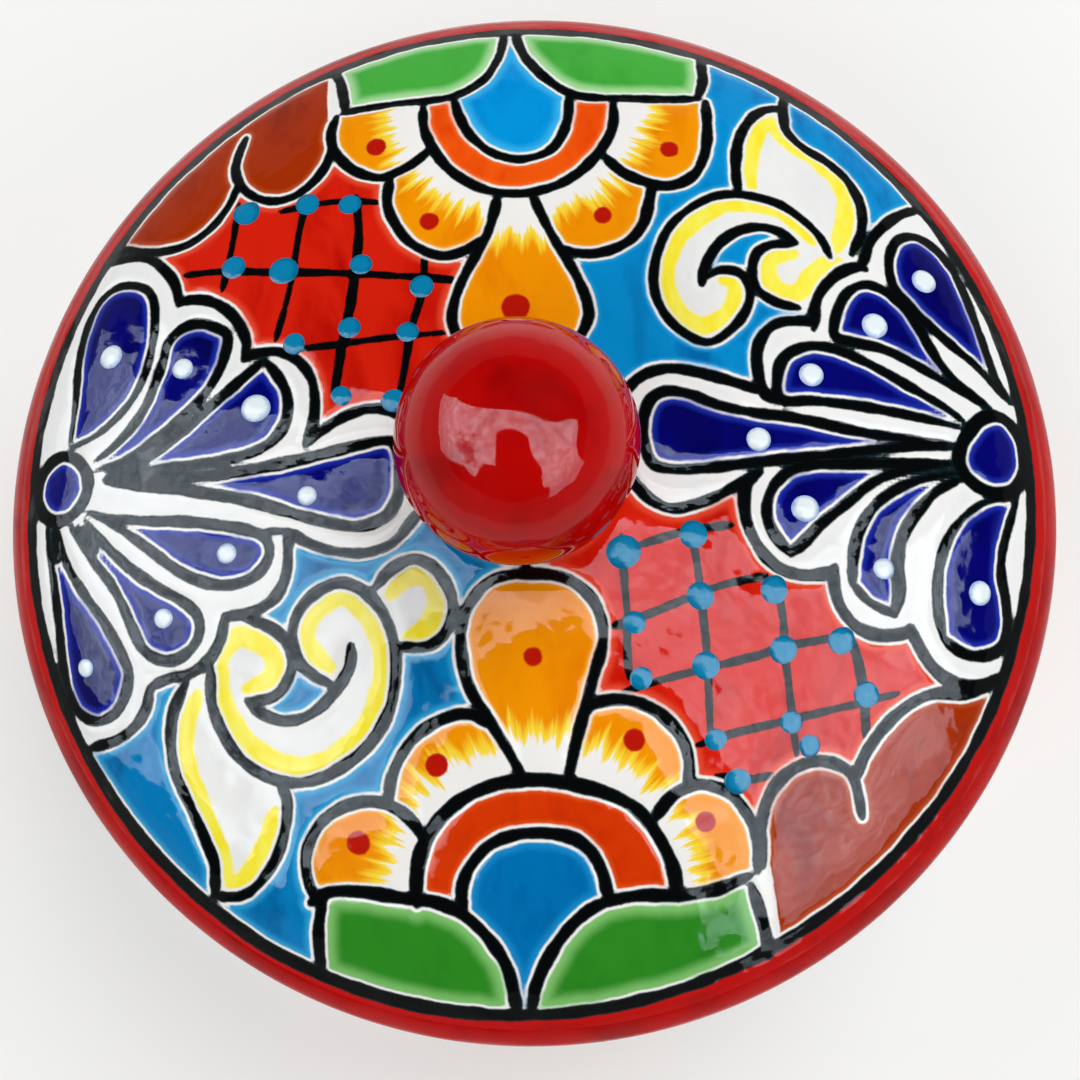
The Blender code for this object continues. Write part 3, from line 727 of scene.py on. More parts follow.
class Tree:
    """Short names for making the nodes of a material or of a geometry tree."""

    def __init__(self, tree):
        self.tree = tree

    def put(self, socket, value):
        """Links a value, or sets a plain one."""
        value = value.socket if isinstance(value, Value) else value
        if isinstance(value, bpy.types.NodeSocket):
            self.tree.links.new(value, socket)
        elif value is not None:
            socket.default_value = value

    def node(self, kind, inputs=None, **settings):
        """A new node, with its settings, and its inputs by their names or numbers."""
        made = self.tree.nodes.new(kind)
        for name, value in settings.items():
            setattr(made, name, value)
        for name, value in (inputs or {}).items():
            self.put(made.inputs[name], value)
        return made

    def out(self, kind, inputs=None, output=0, **settings):
        """One output of a new node."""
        return Value(self, self.node(kind, inputs, **settings).outputs[output])

    def math(self, name, first, second=None, clamp=False):
        return self.out("ShaderNodeMath", {0: first, 1: second}, operation=name, use_clamp=clamp)

    def vector(self, name, first, second=None):
        inputs = {0: first, "Scale" if name == "SCALE" else 1: second}
        output = "Value" if name == "LENGTH" else "Vector"
        return self.out("ShaderNodeVectorMath", inputs, output, operation=name)

    def off_axis(self, place):
        """The place without its height."""
        return self.vector("MULTIPLY", place, (1.0, 1.0, 0.0))

    def step(self, value, none_at, full_at):
        """0 where the value is at none_at or past it, 1 at full_at, smooth between."""
        inputs = {"Value": value, "From Min": none_at, "From Max": full_at}
        return self.out("ShaderNodeMapRange", inputs, "Result", interpolation_type="SMOOTHSTEP")

    def mix(self, share, first, second):
        return self.out("ShaderNodeMix", {"Factor": share, 6: first, 7: second}, 2, data_type="RGBA")

    def noise(self, place, scale, detail=2.0, roughness=0.5, distortion=0.0):
        """Noise around 0.5 whose grain is about 1 / scale metres."""
        return self.out("ShaderNodeTexNoise", {"Vector": place, "Scale": scale, "Detail": detail,
                                               "Roughness": roughness, "Distortion": distortion}, "Fac")

    def attribute(self, name, output="Fac"):
        return self.out("ShaderNodeAttribute", None, output, attribute_name=name)


def colour(values):
    """A shader colour with its alpha."""
    return (*tuple(values)[:3], 1.0)


def new_material(name, roughness, specular=GLAZE_SPECULAR):
    """A material with one shader: itself, its nodes, the shader's inputs and the piece's own coordinates."""
    material = bpy.data.materials.new(name)
    material.use_nodes = True
    shader = material.node_tree.nodes["Principled BSDF"]
    shader.inputs["Roughness"].default_value = roughness
    shader.inputs["Specular IOR Level"].default_value = specular
    tree = Tree(material.node_tree)
    return material, tree, shader.inputs, tree.out("ShaderNodeTexCoord", None, "Object")


def dress(tree, inputs, base, roughness, height, strength, distance):
    """Sets the shader's colour, its roughness, and relief finer than the mesh from a height of 0 to 1."""
    lift = {"Height": height, "Strength": strength, "Distance": distance}
    bump = tree.out("ShaderNodeBump", lift, "Normal")
    for name, value in (("Base Color", base), ("Roughness", roughness), ("Normal", bump)):
        tree.put(inputs[name], value)


def petal_wash(tree, place, glazes, field):
    """Orange glaze brushed thin towards a flower's middle: white, then yellow streaks, then its full colour.
    The reach is a distance from that middle in millimetres, strayed by the streaks."""
    hub_distance, hub_turn = tree.attribute("hub_distance"), tree.attribute("hub_turn")
    across = tree.out("ShaderNodeCombineXYZ", {"X": hub_turn * 17.0, "Y": hub_distance * 0.035})
    streak = tree.noise(across, 1.0, 3.0, 0.65)
    soft = tree.noise(place, 55.0)
    long_petal = tree.step(tree.math("ABSOLUTE", hub_turn), 0.34, 0.16) * tree.attribute("hub_long")
    reach = hub_distance + (streak - 0.5) * -18.0 + (soft - 0.5) * -4.0 - long_petal
    pale = tree.mix(tree.step(reach, WHITE_END_MM, WHITE_END_MM + 1.8), colour(glazes.white),
                    colour(glazes.yellow_wash))
    return tree.mix(tree.step(reach, WASH_END_MM, WASH_END_MM - 5.0) * tree.attribute("wash"), field, pale)


def painted_glaze(name, glazes):
    """The painted faces: fields of glaze with pale rims, and black lines between bare white edges, all under
    gloss. Steps on ink, bare, yellow, trail and spot are distances from those lines in millimetres."""
    material, tree, inputs, place = new_material(name, 0.07, PAINT_SPECULAR)
    stray = (tree.noise(place, 620.0) - 0.5) * 0.34 + (tree.noise(place, 170.0, 1.0) - 0.5) * 0.3
    ink, bare, trail = [tree.attribute(kind) + stray for kind in ("ink", "bare", "trail")]
    yellow = tree.attribute("yellow") + stray * 1.6
    spot = tree.attribute("spot") + stray * 1.3

    brushed = tree.out("ShaderNodeMapping", {"Vector": place, "Rotation": (0.0, 0.0, BRUSH_TURN),
                                             "Scale": (1.0, 0.45, 1.0)})
    patches = tree.noise(brushed, 62.0, 3.0, 0.55, 0.6)
    streaks = tree.noise(brushed, 260.0, 2.0, 0.6, 0.2)
    thick = tree.step(patches + (streaks - 0.5) * 0.22, 0.44, 0.74)
    field = tree.mix(thick, tree.attribute("glaze", "Color"), tree.attribute("glaze_deep", "Color"))
    edge = tree.step(ink / tree.attribute("edge_reach"), 1.0, 0.2)
    field = tree.mix(edge * 0.9, field, tree.attribute("glaze_rim", "Color"))
    field = petal_wash(tree, place, glazes, field)
    brush = tree.mix(tree.step(streaks, 0.3, 0.75), colour(glazes.yellow), colour(glazes.yellow_deep))
    field = tree.mix(tree.step(yellow, 0.6, -0.3), field, brush)
    field = tree.mix(tree.step(trail, 0.18, -0.14), field, colour(glazes.ink))
    field = tree.mix(tree.step(spot, 0.35, -0.2), field, colour(glazes.spot))
    halo = tree.step(tree.math("MINIMUM", ink, bare), 0.92, 0.3) * tree.attribute("halo")
    halo = tree.math("MULTIPLY", halo, tree.step(patches, 0.68, 0.4) + 0.45, clamp=True)
    field = tree.mix(halo, field, colour(glazes.white))
    line = tree.mix(tree.step(ink, -0.05, -0.6), colour(glazes.ink_edge), colour(glazes.ink))

    ripple = tree.noise(place, 95.0, 2.0, 0.45) + tree.noise(place, 1400.0, 1.0) * 0.012
    field = tree.mix(tree.step(ink, 0.26, -0.2), field, line)
    dress(tree, inputs, field, patches * 0.05 + 0.035, ripple, 1.0, 0.0005)
    return material


def plain_glaze(name, main, deep, patch_scale, roughness, ripple_distance, specular):
    """One glossy glaze, a little uneven in colour and surface, with a few pinholes."""
    material, tree, inputs, place = new_material(name, roughness, specular)
    patches = tree.step(tree.noise(place, patch_scale, 3.0, 0.55, 0.3), 0.42, 0.75)
    pinholes = tree.step(tree.noise(place, 1500.0, 1.0), 0.80, 0.86)
    field = tree.mix(pinholes * 0.35, tree.mix(patches, colour(main), colour(deep)), colour(deep))
    ripple = tree.noise(place, 0.7 * patch_scale + 40.0, 2.0, 0.45) - pinholes * 0.3
    dress(tree, inputs, field, patches * 0.04 + roughness, ripple, 1.0, ripple_distance)
    return material


def fired_clay(name, main, deep):
    """Bare terracotta: matt and grainy, with turning lines and paler grains."""
    material, tree, inputs, place = new_material(name, 0.82, 0.3)
    grain = tree.noise(place, 900.0, 4.0, 0.65)
    field = tree.mix(tree.step(tree.noise(place, 70.0, 3.0), 0.35, 0.7), colour(main), colour(deep))
    field = tree.mix(tree.step(grain, 0.6, 0.75), field, colour([min(1.0, 1.5 * part) for part in main]))
    turning_lines = tree.math("SINE", tree.vector("LENGTH", tree.off_axis(place)) * 5200.0)
    dress(tree, inputs, field, None, grain + turning_lines * 0.12, 0.6, 0.0003)
    return material


def enamel(name, main, rim):
    """The opaque raised dots: bright in the middle and thinner at the edge."""
    material, tree, inputs, place = new_material(name, 0.12)
    clouds = tree.noise(place, 420.0, 3.0, 0.6)
    edge = tree.attribute("bead_rim") + (clouds - 0.5) * 0.5
    field = tree.mix(tree.step(edge, 0.5, 0.85), colour(main), colour(rim))
    dress(tree, inputs, field, clouds * 0.1 + 0.06, clouds, 0.5, 0.0002)
    return material


def new_geometry_tree(name, **inputs):
    """An empty geometry tree: its nodes, and its inputs. Each is given with its kind of socket."""
    group = bpy.data.node_groups.new(name, "GeometryNodeTree")
    for direction in ("INPUT", "OUTPUT"):
        group.interface.new_socket("Geometry", in_out=direction, socket_type="NodeSocketGeometry")
    for label, kind in inputs.items():
        group.interface.new_socket(label, in_out="INPUT", socket_type="NodeSocket" + kind)
    group.interface.new_socket("Material", in_out="INPUT", socket_type="NodeSocketMaterial")
    tree = Tree(group)
    return tree, tree.node("NodeGroupInput").outputs


def end_geometry_tree(tree, geometry, material):
    """Realizes the result, shades it smooth and gives it its material."""
    real = tree.out("GeometryNodeRealizeInstances", {"Geometry": geometry})
    smooth = tree.out("GeometryNodeSetShadeSmooth", {"Geometry": real})
    finish = tree.out("GeometryNodeSetMaterial", {"Geometry": smooth, "Material": material})
    tree.node("NodeGroupOutput", {0: finish})
    return tree.tree


def turned_ware_tree():
    """Turns a profile about Z. The profile is a row of points at (radius, 0, height), and its first and last
    points are on the axis or meet. A slow noise makes the turning a little uneven, as a hand does."""
    tree, given = new_geometry_tree("Turned ware", Points="Int", Segments="Int", Unevenness="Float",
                                    Seed="Float")
    columns = tree.out("FunctionNodeIntegerMath", {0: given["Segments"], 1: 1}, operation="ADD")
    grid = tree.out("GeometryNodeMeshGrid", {"Vertices X": columns, "Vertices Y": given["Points"]}, "Mesh")
    index = tree.out("GeometryNodeInputIndex")
    row, column = [tree.out("FunctionNodeIntegerMath", {0: index, 1: given["Points"]}, operation=name)
                   for name in ("MODULO", "DIVIDE_FLOOR")]
    at = tree.out("GeometryNodeSampleIndex", {"Geometry": given["Geometry"], "Index": row,
                                              "Value": tree.out("GeometryNodeInputPosition")},
                  data_type="FLOAT_VECTOR")
    angle = column / given["Segments"] * (2.0 * math.pi)
    turned = tree.out("ShaderNodeVectorRotate", {"Vector": at, "Angle": angle}, rotation_type="Z_AXIS")
    grain = {"Vector": turned, "W": given["Seed"], "Scale": 22.0, "Detail": 1.0}
    cloud = tree.out("ShaderNodeTexNoise", grain, "Fac", noise_dimensions="4D")
    flat = tree.off_axis(turned)
    pulled = tree.vector("SCALE", tree.vector("NORMALIZE", flat), cloud * -1.0 * given["Unevenness"])
    pulled = tree.vector("SCALE", pulled, tree.step(tree.vector("LENGTH", flat), 0.002, 0.012))
    pulled = tree.vector("ADD", turned, pulled)
    placed = tree.out("GeometryNodeSetPosition", {"Geometry": grid, "Position": pulled})
    rows = tree.out("GeometryNodeStoreNamedAttribute", {"Geometry": placed, "Name": "row", "Value": row},
                    data_type="FLOAT", domain="POINT")
    joined = tree.out("GeometryNodeMergeByDistance", {"Geometry": rows, "Distance": 0.000002})
    return end_geometry_tree(tree, joined, given["Material"])


def beads_tree():
    """A low round dot of enamel on each point. A point carries its bead's radius, and the way it faces."""
    tree, given = new_geometry_tree("Enamel beads", Segments="Int", Height="Float", Roundness="Float",
                                    Seed="Int")
    unit = {"Segments": given["Segments"], "Rings": 12, "Radius": 1.0}
    ball = tree.out("GeometryNodeMeshUVSphere", unit, "Mesh")
    from_middle = tree.vector("LENGTH", tree.off_axis(tree.out("GeometryNodeInputPosition")))
    rim = {"Geometry": ball, "Name": "bead_rim", "Value": from_middle}
    kept = tree.out("GeometryNodeStoreNamedAttribute", rim, data_type="FLOAT", domain="POINT")
    radius, facing = [tree.out("GeometryNodeInputNamedAttribute", {"Name": name}, data_type=kind)
                      for name, kind in (("bead_radius", "FLOAT"), ("facing", "FLOAT_VECTOR"))]
    turned = tree.out("FunctionNodeAlignRotationToVector", {"Vector": facing}, axis="Z")
    wide = radius * tree.out("FunctionNodeRandomValue", {2: 0.94, 3: 1.06, "Seed": given["Seed"]}, 1,
                             data_type="FLOAT")
    size = tree.out("ShaderNodeCombineXYZ", {"X": wide, "Y": wide * given["Roundness"],
                                             "Z": radius * given["Height"]})
    placed = tree.out("GeometryNodeInstanceOnPoints", {"Points": given["Geometry"], "Instance": kept,
                                                       "Rotation": turned, "Scale": size})
    return end_geometry_tree(tree, placed, given["Material"])


def new_object(name, data):
    """An object in the scene."""
    made = bpy.data.objects.new(name, data)
    bpy.context.scene.collection.objects.link(made)
    return made


def run_geometry_tree(name, mesh, tree, values):
    """A plain mesh object from a tree run on a mesh, with the tree's inputs set by identifier."""
    source = new_object(name, mesh)
    modifier = source.modifiers.new("Shape", "NODES")
    modifier.node_group = tree
    for item in tree.interface.items_tree:
        if item.item_type == "SOCKET" and item.in_out == "INPUT" and item.name in values:
            modifier[item.identifier] = values[item.name]
    result = bpy.data.meshes.new_from_object(source.evaluated_get(bpy.context.evaluated_depsgraph_get()))
    source.modifiers.remove(modifier)
    bpy.data.objects.remove(source)
    bpy.data.meshes.remove(mesh)
    result.name = name
    result.materials.clear()
    result.materials.append(values["Material"])
    result.polygons.foreach_set("material_index", np.zeros(len(result.polygons), dtype=np.int32))
    return new_object(name, result)


def crown_height(radius, rim, rise):
    """Height of a dome of this rim radius and rise, above its widest circle."""
    inside = np.maximum(0.0, 1.0 - (np.asarray(radius) / rim) ** CROWN_POWER)
    return rise * inside ** (1.0 / SHOULDER_POWER)


def lid_top(radius):
    """Height of the lid's plain top at a radius."""
    return lid_datum + float(crown_height(radius, lid_radius, crown_rise))


def crown_points(rim, rise, first_radius, steps):
    """(radius, height) points of the lid's dome from a first radius to its rim, closer at the shoulder."""
    first = math.asin((first_radius / rim) ** (CROWN_POWER / 2.0))
    turns = np.linspace(first, math.pi / 2.0, steps + 1)
    radii = rim * np.sin(turns) ** (2.0 / CROWN_POWER)
    heights = crown_height(radii, rim, rise)
    heights[-1] = 0.0
    return list(zip(radii, lid_datum + heights))


def arc(centre_radius, centre_height, width, height, start, end, steps):
    """Points on an elliptical arc; angles in degrees, 0 outwards and 90 upwards."""
    angles = np.radians(np.linspace(start, end, steps + 1))
    return list(zip(centre_radius + width * np.cos(angles), centre_height + height * np.sin(angles)))


def straight(start, end, steps):
    """Points of a straight run, without its first point."""
    return [(start[0] + (end[0] - start[0]) * share, start[1] + (end[1] - start[1]) * share)
            for share in np.linspace(0.0, 1.0, steps + 1)[1:]]


def zipped(start_a, count_a, start_b, count_b):
    """Triangles between two rings of any two counts, whose first points are at the same turn."""
    turns = np.concatenate([np.arange(1, count_a + 1) / count_a, np.arange(1, count_b + 1) / count_b])
    from_a = np.arange(count_a + count_b) < count_a
    from_a = from_a[np.argsort(turns, kind="stable")]
    step_a = np.cumsum(from_a) - from_a
    step_b = np.cumsum(~from_a) - ~from_a
    third = np.where(from_a, start_a + (step_a + 1) % count_a, start_b + (step_b + 1) % count_b)
    return np.stack([start_a + step_a % count_a, start_b + step_b % count_b, third], 1)


def lid_rings():
    """The lid's skin as rings of (radius, height, points, material of the band after it): out over the
    painted top from the vent, round the red edge, in along the seat and the underside, back up the vent."""
    paint_end = BAND_MM * MM
    rings = []

    def add(points, band, count=None):
        """A run of rings, from the last one on."""
        rings[-1] = (*rings[-1][:3], band)
        for radius, height in points:
            rings.append((radius, height, count(radius) if count else RIM_POINTS, band))

    for number in range(FIRST_RING, LAST_RING + 1):
        radius = VENT_RADIUS + (paint_end - VENT_RADIUS) * (number - FIRST_RING) / (LAST_RING - FIRST_RING)
        rings.append((radius, lid_top(radius), RING_GROWTH * number, PAINTED))
    add(crown_points(lid_radius, crown_rise, paint_end, EDGE_RINGS)[1:], RIM)
    add(arc(lid_radius - EDGE_WIDTH, lid_datum, EDGE_WIDTH, EDGE_DROP, 0, -90, 9)[1:], RIM)
    seat = rings[-1][:2]
    add(straight(seat, (inner_radius, seat[1]), 3), BARE)
    add(straight((inner_radius, seat[1]), (inner_radius, lid_datum), 2), PLAIN)
    add(crown_points(inner_radius, inner_rise, VENT_RADIUS, 26)[-2::-1], PLAIN,
        lambda radius: max(RING_GROWTH * FIRST_RING, int(RIM_POINTS * radius / inner_radius)))
    add([], BARE)
    return rings


def ring_mesh(name, rings):
    """A closed mesh through the rings, from the first to the last and back to the first."""
    starts = np.concatenate([[0], np.cumsum([ring[2] for ring in rings])])
    points, faces, bands = [], [], []
    for number, (radius, height, count, band) in enumerate(rings):
        turns = 2.0 * math.pi * np.arange(count) / count
        points.append(np.stack([radius * np.cos(turns), radius * np.sin(turns), np.full(count, height)], 1))
        after = (number + 1) % len(rings)
        made = zipped(starts[number], count, starts[after], rings[after][2])
        faces.append(made)
        bands.append(np.full(len(made), band))
    mesh = bpy.data.meshes.new(name)
    faces = np.concatenate(faces)
    mesh.vertices.add(starts[-1])
    mesh.vertices.foreach_set("co", np.concatenate(points).ravel())
    mesh.loops.add(faces.size)
    mesh.loops.foreach_set("vertex_index", faces.ravel())
    mesh.polygons.add(len(faces))
    mesh.polygons.foreach_set("loop_start", np.arange(len(faces)) * 3)
    mesh.polygons.foreach_set("material_index", np.concatenate(bands))
    mesh.update(calc_edges=True)
    mesh.validate()
    return mesh, starts


def read(items, name, kind=int, width=1):
    """Values of one kind from a mesh's points, corners or faces."""
    values = np.zeros(len(items) * width, dtype=kind)
    items.foreach_get(name, values)
    return values


def read_points(mesh):
    return read(mesh.vertices, "co", float, 3).reshape(-1, 3)


def write_points(mesh, points):
    mesh.vertices.foreach_set("co", points.ravel())
    mesh.update()


def set_attribute(mesh, name, values, kind="FLOAT"):
    attribute = mesh.attributes.new(name, kind, "POINT")
    field = {"FLOAT_COLOR": "color", "FLOAT_VECTOR": "vector"}.get(kind, "value")
    attribute.data.foreach_set(field, np.asarray(values).ravel())


def paint_points(mesh, painted, sheet, x, y, hubs):
    """Gives the painted points their distances from each kind of line, their glazes, and their place round
    the nearest flower's middle: a hub is its x, y, the scale of its distances, how much further the white
    runs up its long petal, and its turn. Other points are far from every line. Returns the distance from the
    nearest black line or bare gap."""

    def spread_out(values, elsewhere):
        """Values of the painted points among all the mesh's points."""
        everywhere = np.full(len(mesh.vertices), elsewhere)
        everywhere[painted] = values
        return everywhere

    glaze = spread_out(sheet.glaze(x, y), 0)
    gaps = {kind: spread_out(sheet.distance(kind, x, y), FAR_MM)
            for kind in ("ink", "bare", "yellow", "trail", "spot")}
    gaps["yellow"] = np.where(glaze == GLAZE_NAMES.index("cream"), gaps["yellow"], FAR_MM)
    for kind, values in gaps.items():
        set_attribute(mesh, kind, values)
    for place, name in enumerate(("glaze", "glaze_rim", "glaze_deep")):
        palette = np.array([(*linear(*GLAZES[kind][place]), 1.0) for kind in GLAZE_NAMES])
        set_attribute(mesh, name, palette[glaze], "FLOAT_COLOR")
    edge_reach = np.array([EDGE_REACH.get(name, PLAIN_EDGE_REACH) for name in GLAZE_NAMES])
    set_attribute(mesh, "edge_reach", edge_reach[glaze])
    set_attribute(mesh, "wash", (glaze == GLAZE_NAMES.index("orange")).astype(float))
    set_attribute(mesh, "halo", (glaze != GLAZE_NAMES.index("rim")).astype(float))

    offsets = np.stack([np.hypot(x - hub[0], y - hub[1]) * hub[2] for hub in hubs])
    nearest = np.argmin(offsets, axis=0)
    middle = np.array(hubs)[nearest]
    turned = np.radians(middle[:, 4])
    ahead = (x - middle[:, 0]) * np.cos(turned) + (y - middle[:, 1]) * np.sin(turned)
    aside = (y - middle[:, 1]) * np.cos(turned) - (x - middle[:, 0]) * np.sin(turned)
    set_attribute(mesh, "hub_distance", spread_out(offsets[nearest, np.arange(len(nearest))], 100.0))
    set_attribute(mesh, "hub_turn", spread_out(np.arctan2(aside, ahead), 0.0))
    set_attribute(mesh, "hub_long", spread_out(middle[:, 3], 0.0))
    return np.minimum(gaps["ink"], gaps["bare"])


def relief(gap, depth, pillow):
    """How far the glaze stands up, in metres: sunk at a black line, and swelling within about 3 mm of it."""
    rise = 1.0 - np.exp(-np.maximum(0.0, gap) / SWELL_MM)
    return pillow * (rise - 1.0) - depth * (gap < GROOVE_MM) * GROOVE_SHARE


def slow_waves(x, y, length, seed):
    """A smooth uneven surface of about -1 to 1, with waves of about this length."""
    total = np.zeros(len(x))
    for number in range(7):
        turn = seed + 2.39996 * number
        rate = 2.0 * math.pi / (length * (0.75 + 0.13 * number))
        total += np.sin(rate * (x * math.cos(turn) + y * math.sin(turn)) + 3.7 * seed + 1.9 * number)
    return total / 4.0


def lid_rise(sheet, x, y, sizes):
    """How far the lid's painted surface lies from the plain dome, in metres, at points of its plan."""
    gap = np.minimum(sheet.distance("ink", x, y), sheet.distance("bare", x, y))
    waves = slow_waves(x, y, 17.0, float(sizes.seed))
    return relief(gap, sizes.line_depth, sizes.pillow) + sizes.waviness * (waves - 1.0)


def finish_piece(piece, body, nodes=(), materials=()):
    """Gives a piece its materials, shades it, and places it in the frame."""
    for material in materials:
        piece.data.materials.append(material)
    piece.data.shade_smooth()
    piece.data.set_sharp_from_angle(angle=math.radians(50.0))
    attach(piece, body)
    if nodes:
        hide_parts(*nodes)


def points_mesh(name, points):
    """Points alone, for a tree to work on."""
    mesh = bpy.data.meshes.new(name)
    mesh.from_pydata(points, [], [])
    return mesh


def turned_piece(name, profile, segments, unevenness, seed, material):
    """One piece of turned ware from its profile."""
    tree = bpy.data.node_groups.get("Turned ware") or turned_ware_tree()
    points = [(float(radius), 0.0, float(height)) for radius, height in profile]
    values = {"Points": len(points), "Segments": segments, "Unevenness": unevenness, "Seed": float(seed),
              "Material": material}
    return run_geometry_tree(name, points_mesh(name, points), tree, values)


def side_lean(height):
    """How far the dish's side leans out at a height."""
    return DISH_FLARE * max(0.0, (height - turn_height) / (dish_high.z - turn_height)) ** 1.5


def dish_outside():
    """The dish's outer side from the edge of its flat base up to its rim: (radius, height) points."""
    side = np.linspace(turn_height, lip_height, 33)[1:]
    return (arc(base_radius, turn_height, DISH_TURN, DISH_TURN, -90, 0, 46)
            + [(side_radius + side_lean(height), height) for height in side])


def lengths_along(points):
    """Distance along a profile from its first point to each point."""
    steps = np.hypot(*np.diff(np.array(points), axis=0).T)
    return np.concatenate([[0.0], np.cumsum(steps)])


def wall_point(along_mm, across_mm, outside, lengths):
    """Place and outward direction on the dish's side of a point of the rolled-out sheet."""
    (radius, height), (ahead_radius, ahead_height) = [
        [float(np.interp(along, lengths, [point[k] for point in outside])) for k in (0, 1)]
        for along in (along_mm * MM, along_mm * MM + SLOPE_STEP)]
    slope = math.atan2(ahead_height - height, ahead_radius - radius)
    turn = across_mm * MM / side_radius
    around = (math.cos(turn), math.sin(turn))
    return ((radius * around[0], radius * around[1], height),
            (math.sin(slope) * around[0], math.sin(slope) * around[1], -math.cos(slope)))


def lid_point(x_mm, y_mm, rise):
    """Place and outward direction on the lid's top of a point of its plan."""
    radius = math.hypot(x_mm, y_mm) * MM
    height = lid_top(radius)
    drop = (lid_top(radius + SLOPE_STEP) - height) / SLOPE_STEP
    out = np.array([-drop * x_mm * MM / radius, -drop * y_mm * MM / radius, 1.0])
    return (x_mm * MM, y_mm * MM, height + rise), tuple(out / np.linalg.norm(out))


def bead_piece(name, places, radii_mm, sink, values, material):
    """Enamel dots on these (point, direction) places. Each is a flat ball, wider than its radius and sunk
    into the glaze so far that the cap that shows has the radius."""
    balls = BALL_SHARE * np.array(radii_mm) * MM
    depths = sink + 0.6 * values["Height"] * balls
    mesh = points_mesh(name, [tuple(np.array(point) - depth * np.array(out))
                              for (point, out), depth in zip(places, depths)])
    set_attribute(mesh, "bead_radius", balls)
    set_attribute(mesh, "facing", [out for point, out in places], "FLOAT_VECTOR")
    tree = bpy.data.node_groups.get("Enamel beads") or beads_tree()
    return run_geometry_tree(name, mesh, tree, {**values, "Material": material})


def glaze_property(name, description, red, green, blue):
    """A colour property whose default is picked as 0 to 255 on a screen."""
    return FloatVectorProperty(name=name, description=description, subtype="COLOR", size=3, min=0.0, max=1.0,
                               default=linear(red, green, blue))


def length_property(name, description, default, precision=5):
    return FloatProperty(name=name, description=description, subtype="DISTANCE", unit="LENGTH", min=0.0,
                         default=default, precision=precision)


def share_property(name, description, default, low=0.0, high=1.0):
    return FloatProperty(name=name, description=description, subtype="FACTOR", default=default, min=low,
                         soft_max=high)


class PotteryGlazes(bpy.types.PropertyGroup):
    """Colours of the paint, the plain glazes and the clay."""

    white: glaze_property("White", "Bare white glaze beside the lines", 243, 242, 239)
    ink: glaze_property("Line", "Middle of a painted line", 5, 7, 8)
    ink_edge: glaze_property("Line edge", "Soft edge of a painted line", 14, 34, 38)
    yellow: glaze_property("Yellow", "Brush lines inside the scrolls", 255, 246, 96)
    yellow_deep: glaze_property("Deep yellow", "Thicker part of the yellow lines", 255, 236, 44)
    yellow_wash: glaze_property("Yellow wash", "Thin glaze at the foot of the petals", 252, 220, 60)
    spot: glaze_property("Petal dot", "Red dot on each petal", 186, 22, 8)
    rim_red: glaze_property("Rim red", "Glaze of the lid's rim and the knob", 184, 5, 3)
    rim_red_deep: glaze_property("Deep rim red", "Thicker patches of that glaze", 152, 2, 2)
    cream: glaze_property("Cream", "Plain glaze inside the dish and under the lid", 232, 226, 208)
    cream_deep: glaze_property("Deep cream", "Thicker patches of the plain glaze", 220, 211, 189)
    clay: glaze_property("Clay", "Bare terracotta", 186, 112, 78)
    clay_deep: glaze_property("Deep clay", "Darker clouds in the terracotta", 160, 90, 60)
    pearl: glaze_property("White bead", "Raised dots on the blue petals", 234, 244, 248)
    pearl_rim: glaze_property("White bead edge", "Thin edge of those dots", 150, 180, 220)
    turquoise: glaze_property("Turquoise bead", "Dots on the crossings of the red net", 8, 130, 176)
    turquoise_rim: glaze_property("Turquoise bead edge", "Thin edge of those dots", 4, 106, 148)


class PotterySizes(bpy.types.PropertyGroup):
    """Sizes of the relief and of the meshes."""

    line_depth: length_property("Line depth", "How deep a painted line lies below the glaze", 0.0001)
    pillow: length_property("Pillow", "How far a field of glaze swells above its edges", 0.0003)
    waviness: length_property("Waviness", "Slow unevenness of the lid's surface", 0.00013)
    unevenness: length_property("Unevenness", "How far a turned piece strays from round", 0.0003)
    pearl_height: share_property("White bead height", "Height as a share of the bead's radius", 0.5, 0.05)
    net_height: share_property("Turquoise bead height", "Height as a share of the bead's radius", 0.2, 0.05)
    wall_segments: IntProperty(name="Dish segments", description="Faces round the dish", default=780, min=64)
    segments: IntProperty(name="Segments", description="Faces round the smaller turned pieces", default=288,
                          min=48)
    seed: IntProperty(name="Seed", description="Changes the hand's unevenness", default=7)


class PotteryStage(bpy.types.PropertyGroup):
    """Floor, lamps and surroundings."""

    floor: glaze_property("Floor", "Pale floor round the dish", 250, 250, 248)
    far_floor: glaze_property("Far floor", "Far floor and backdrop", 186, 187, 188)
    reach: length_property("Reach", "Distance from the dish to the backdrop", 4.8, 2)
    lamps: share_property("Soft lamps", "Brightness of the soft lamps: 1 is a plain level", 1.04, 0.0, 2.0)
    window: share_property("Window", "Brightness of the bright sky that the glazes reflect", 8.5, 0.0, 12.0)
    surroundings: share_property("Surroundings", "Brightness of the even light from all round", 0.06)


def shared(name, make, *looks):
    """A material that is made once."""
    return bpy.data.materials.get(name) or make(name, *looks)


def shared_painted_glaze():
    return shared("painted_glaze", painted_glaze, bpy.context.scene.pottery_glazes)


def shared_clay():
    glazes = bpy.context.scene.pottery_glazes
    return shared("bare_clay", fired_clay, glazes.clay, glazes.clay_deep)


def red_glaze(name, roughness, specular):
    glazes = bpy.context.scene.pottery_glazes
    return shared(name, plain_glaze, glazes.rim_red, glazes.rim_red_deep, 60.0, roughness, 0.0004, specular)


def cream_glaze():
    glazes = bpy.context.scene.pottery_glazes
    return shared("plain_cream_cover", plain_glaze, glazes.cream, glazes.cream_deep, 55.0, 0.1, 0.0005,
                  GLAZE_SPECULAR)


def write_bake_map(mesh, u, v):
    """The piece's own UV map, from a place for each corner."""
    layer = mesh.uv_layers.new(name="OFBake")
    layer.uv.foreach_set("vector", np.stack([u, v], 1).astype(np.float32).ravel())


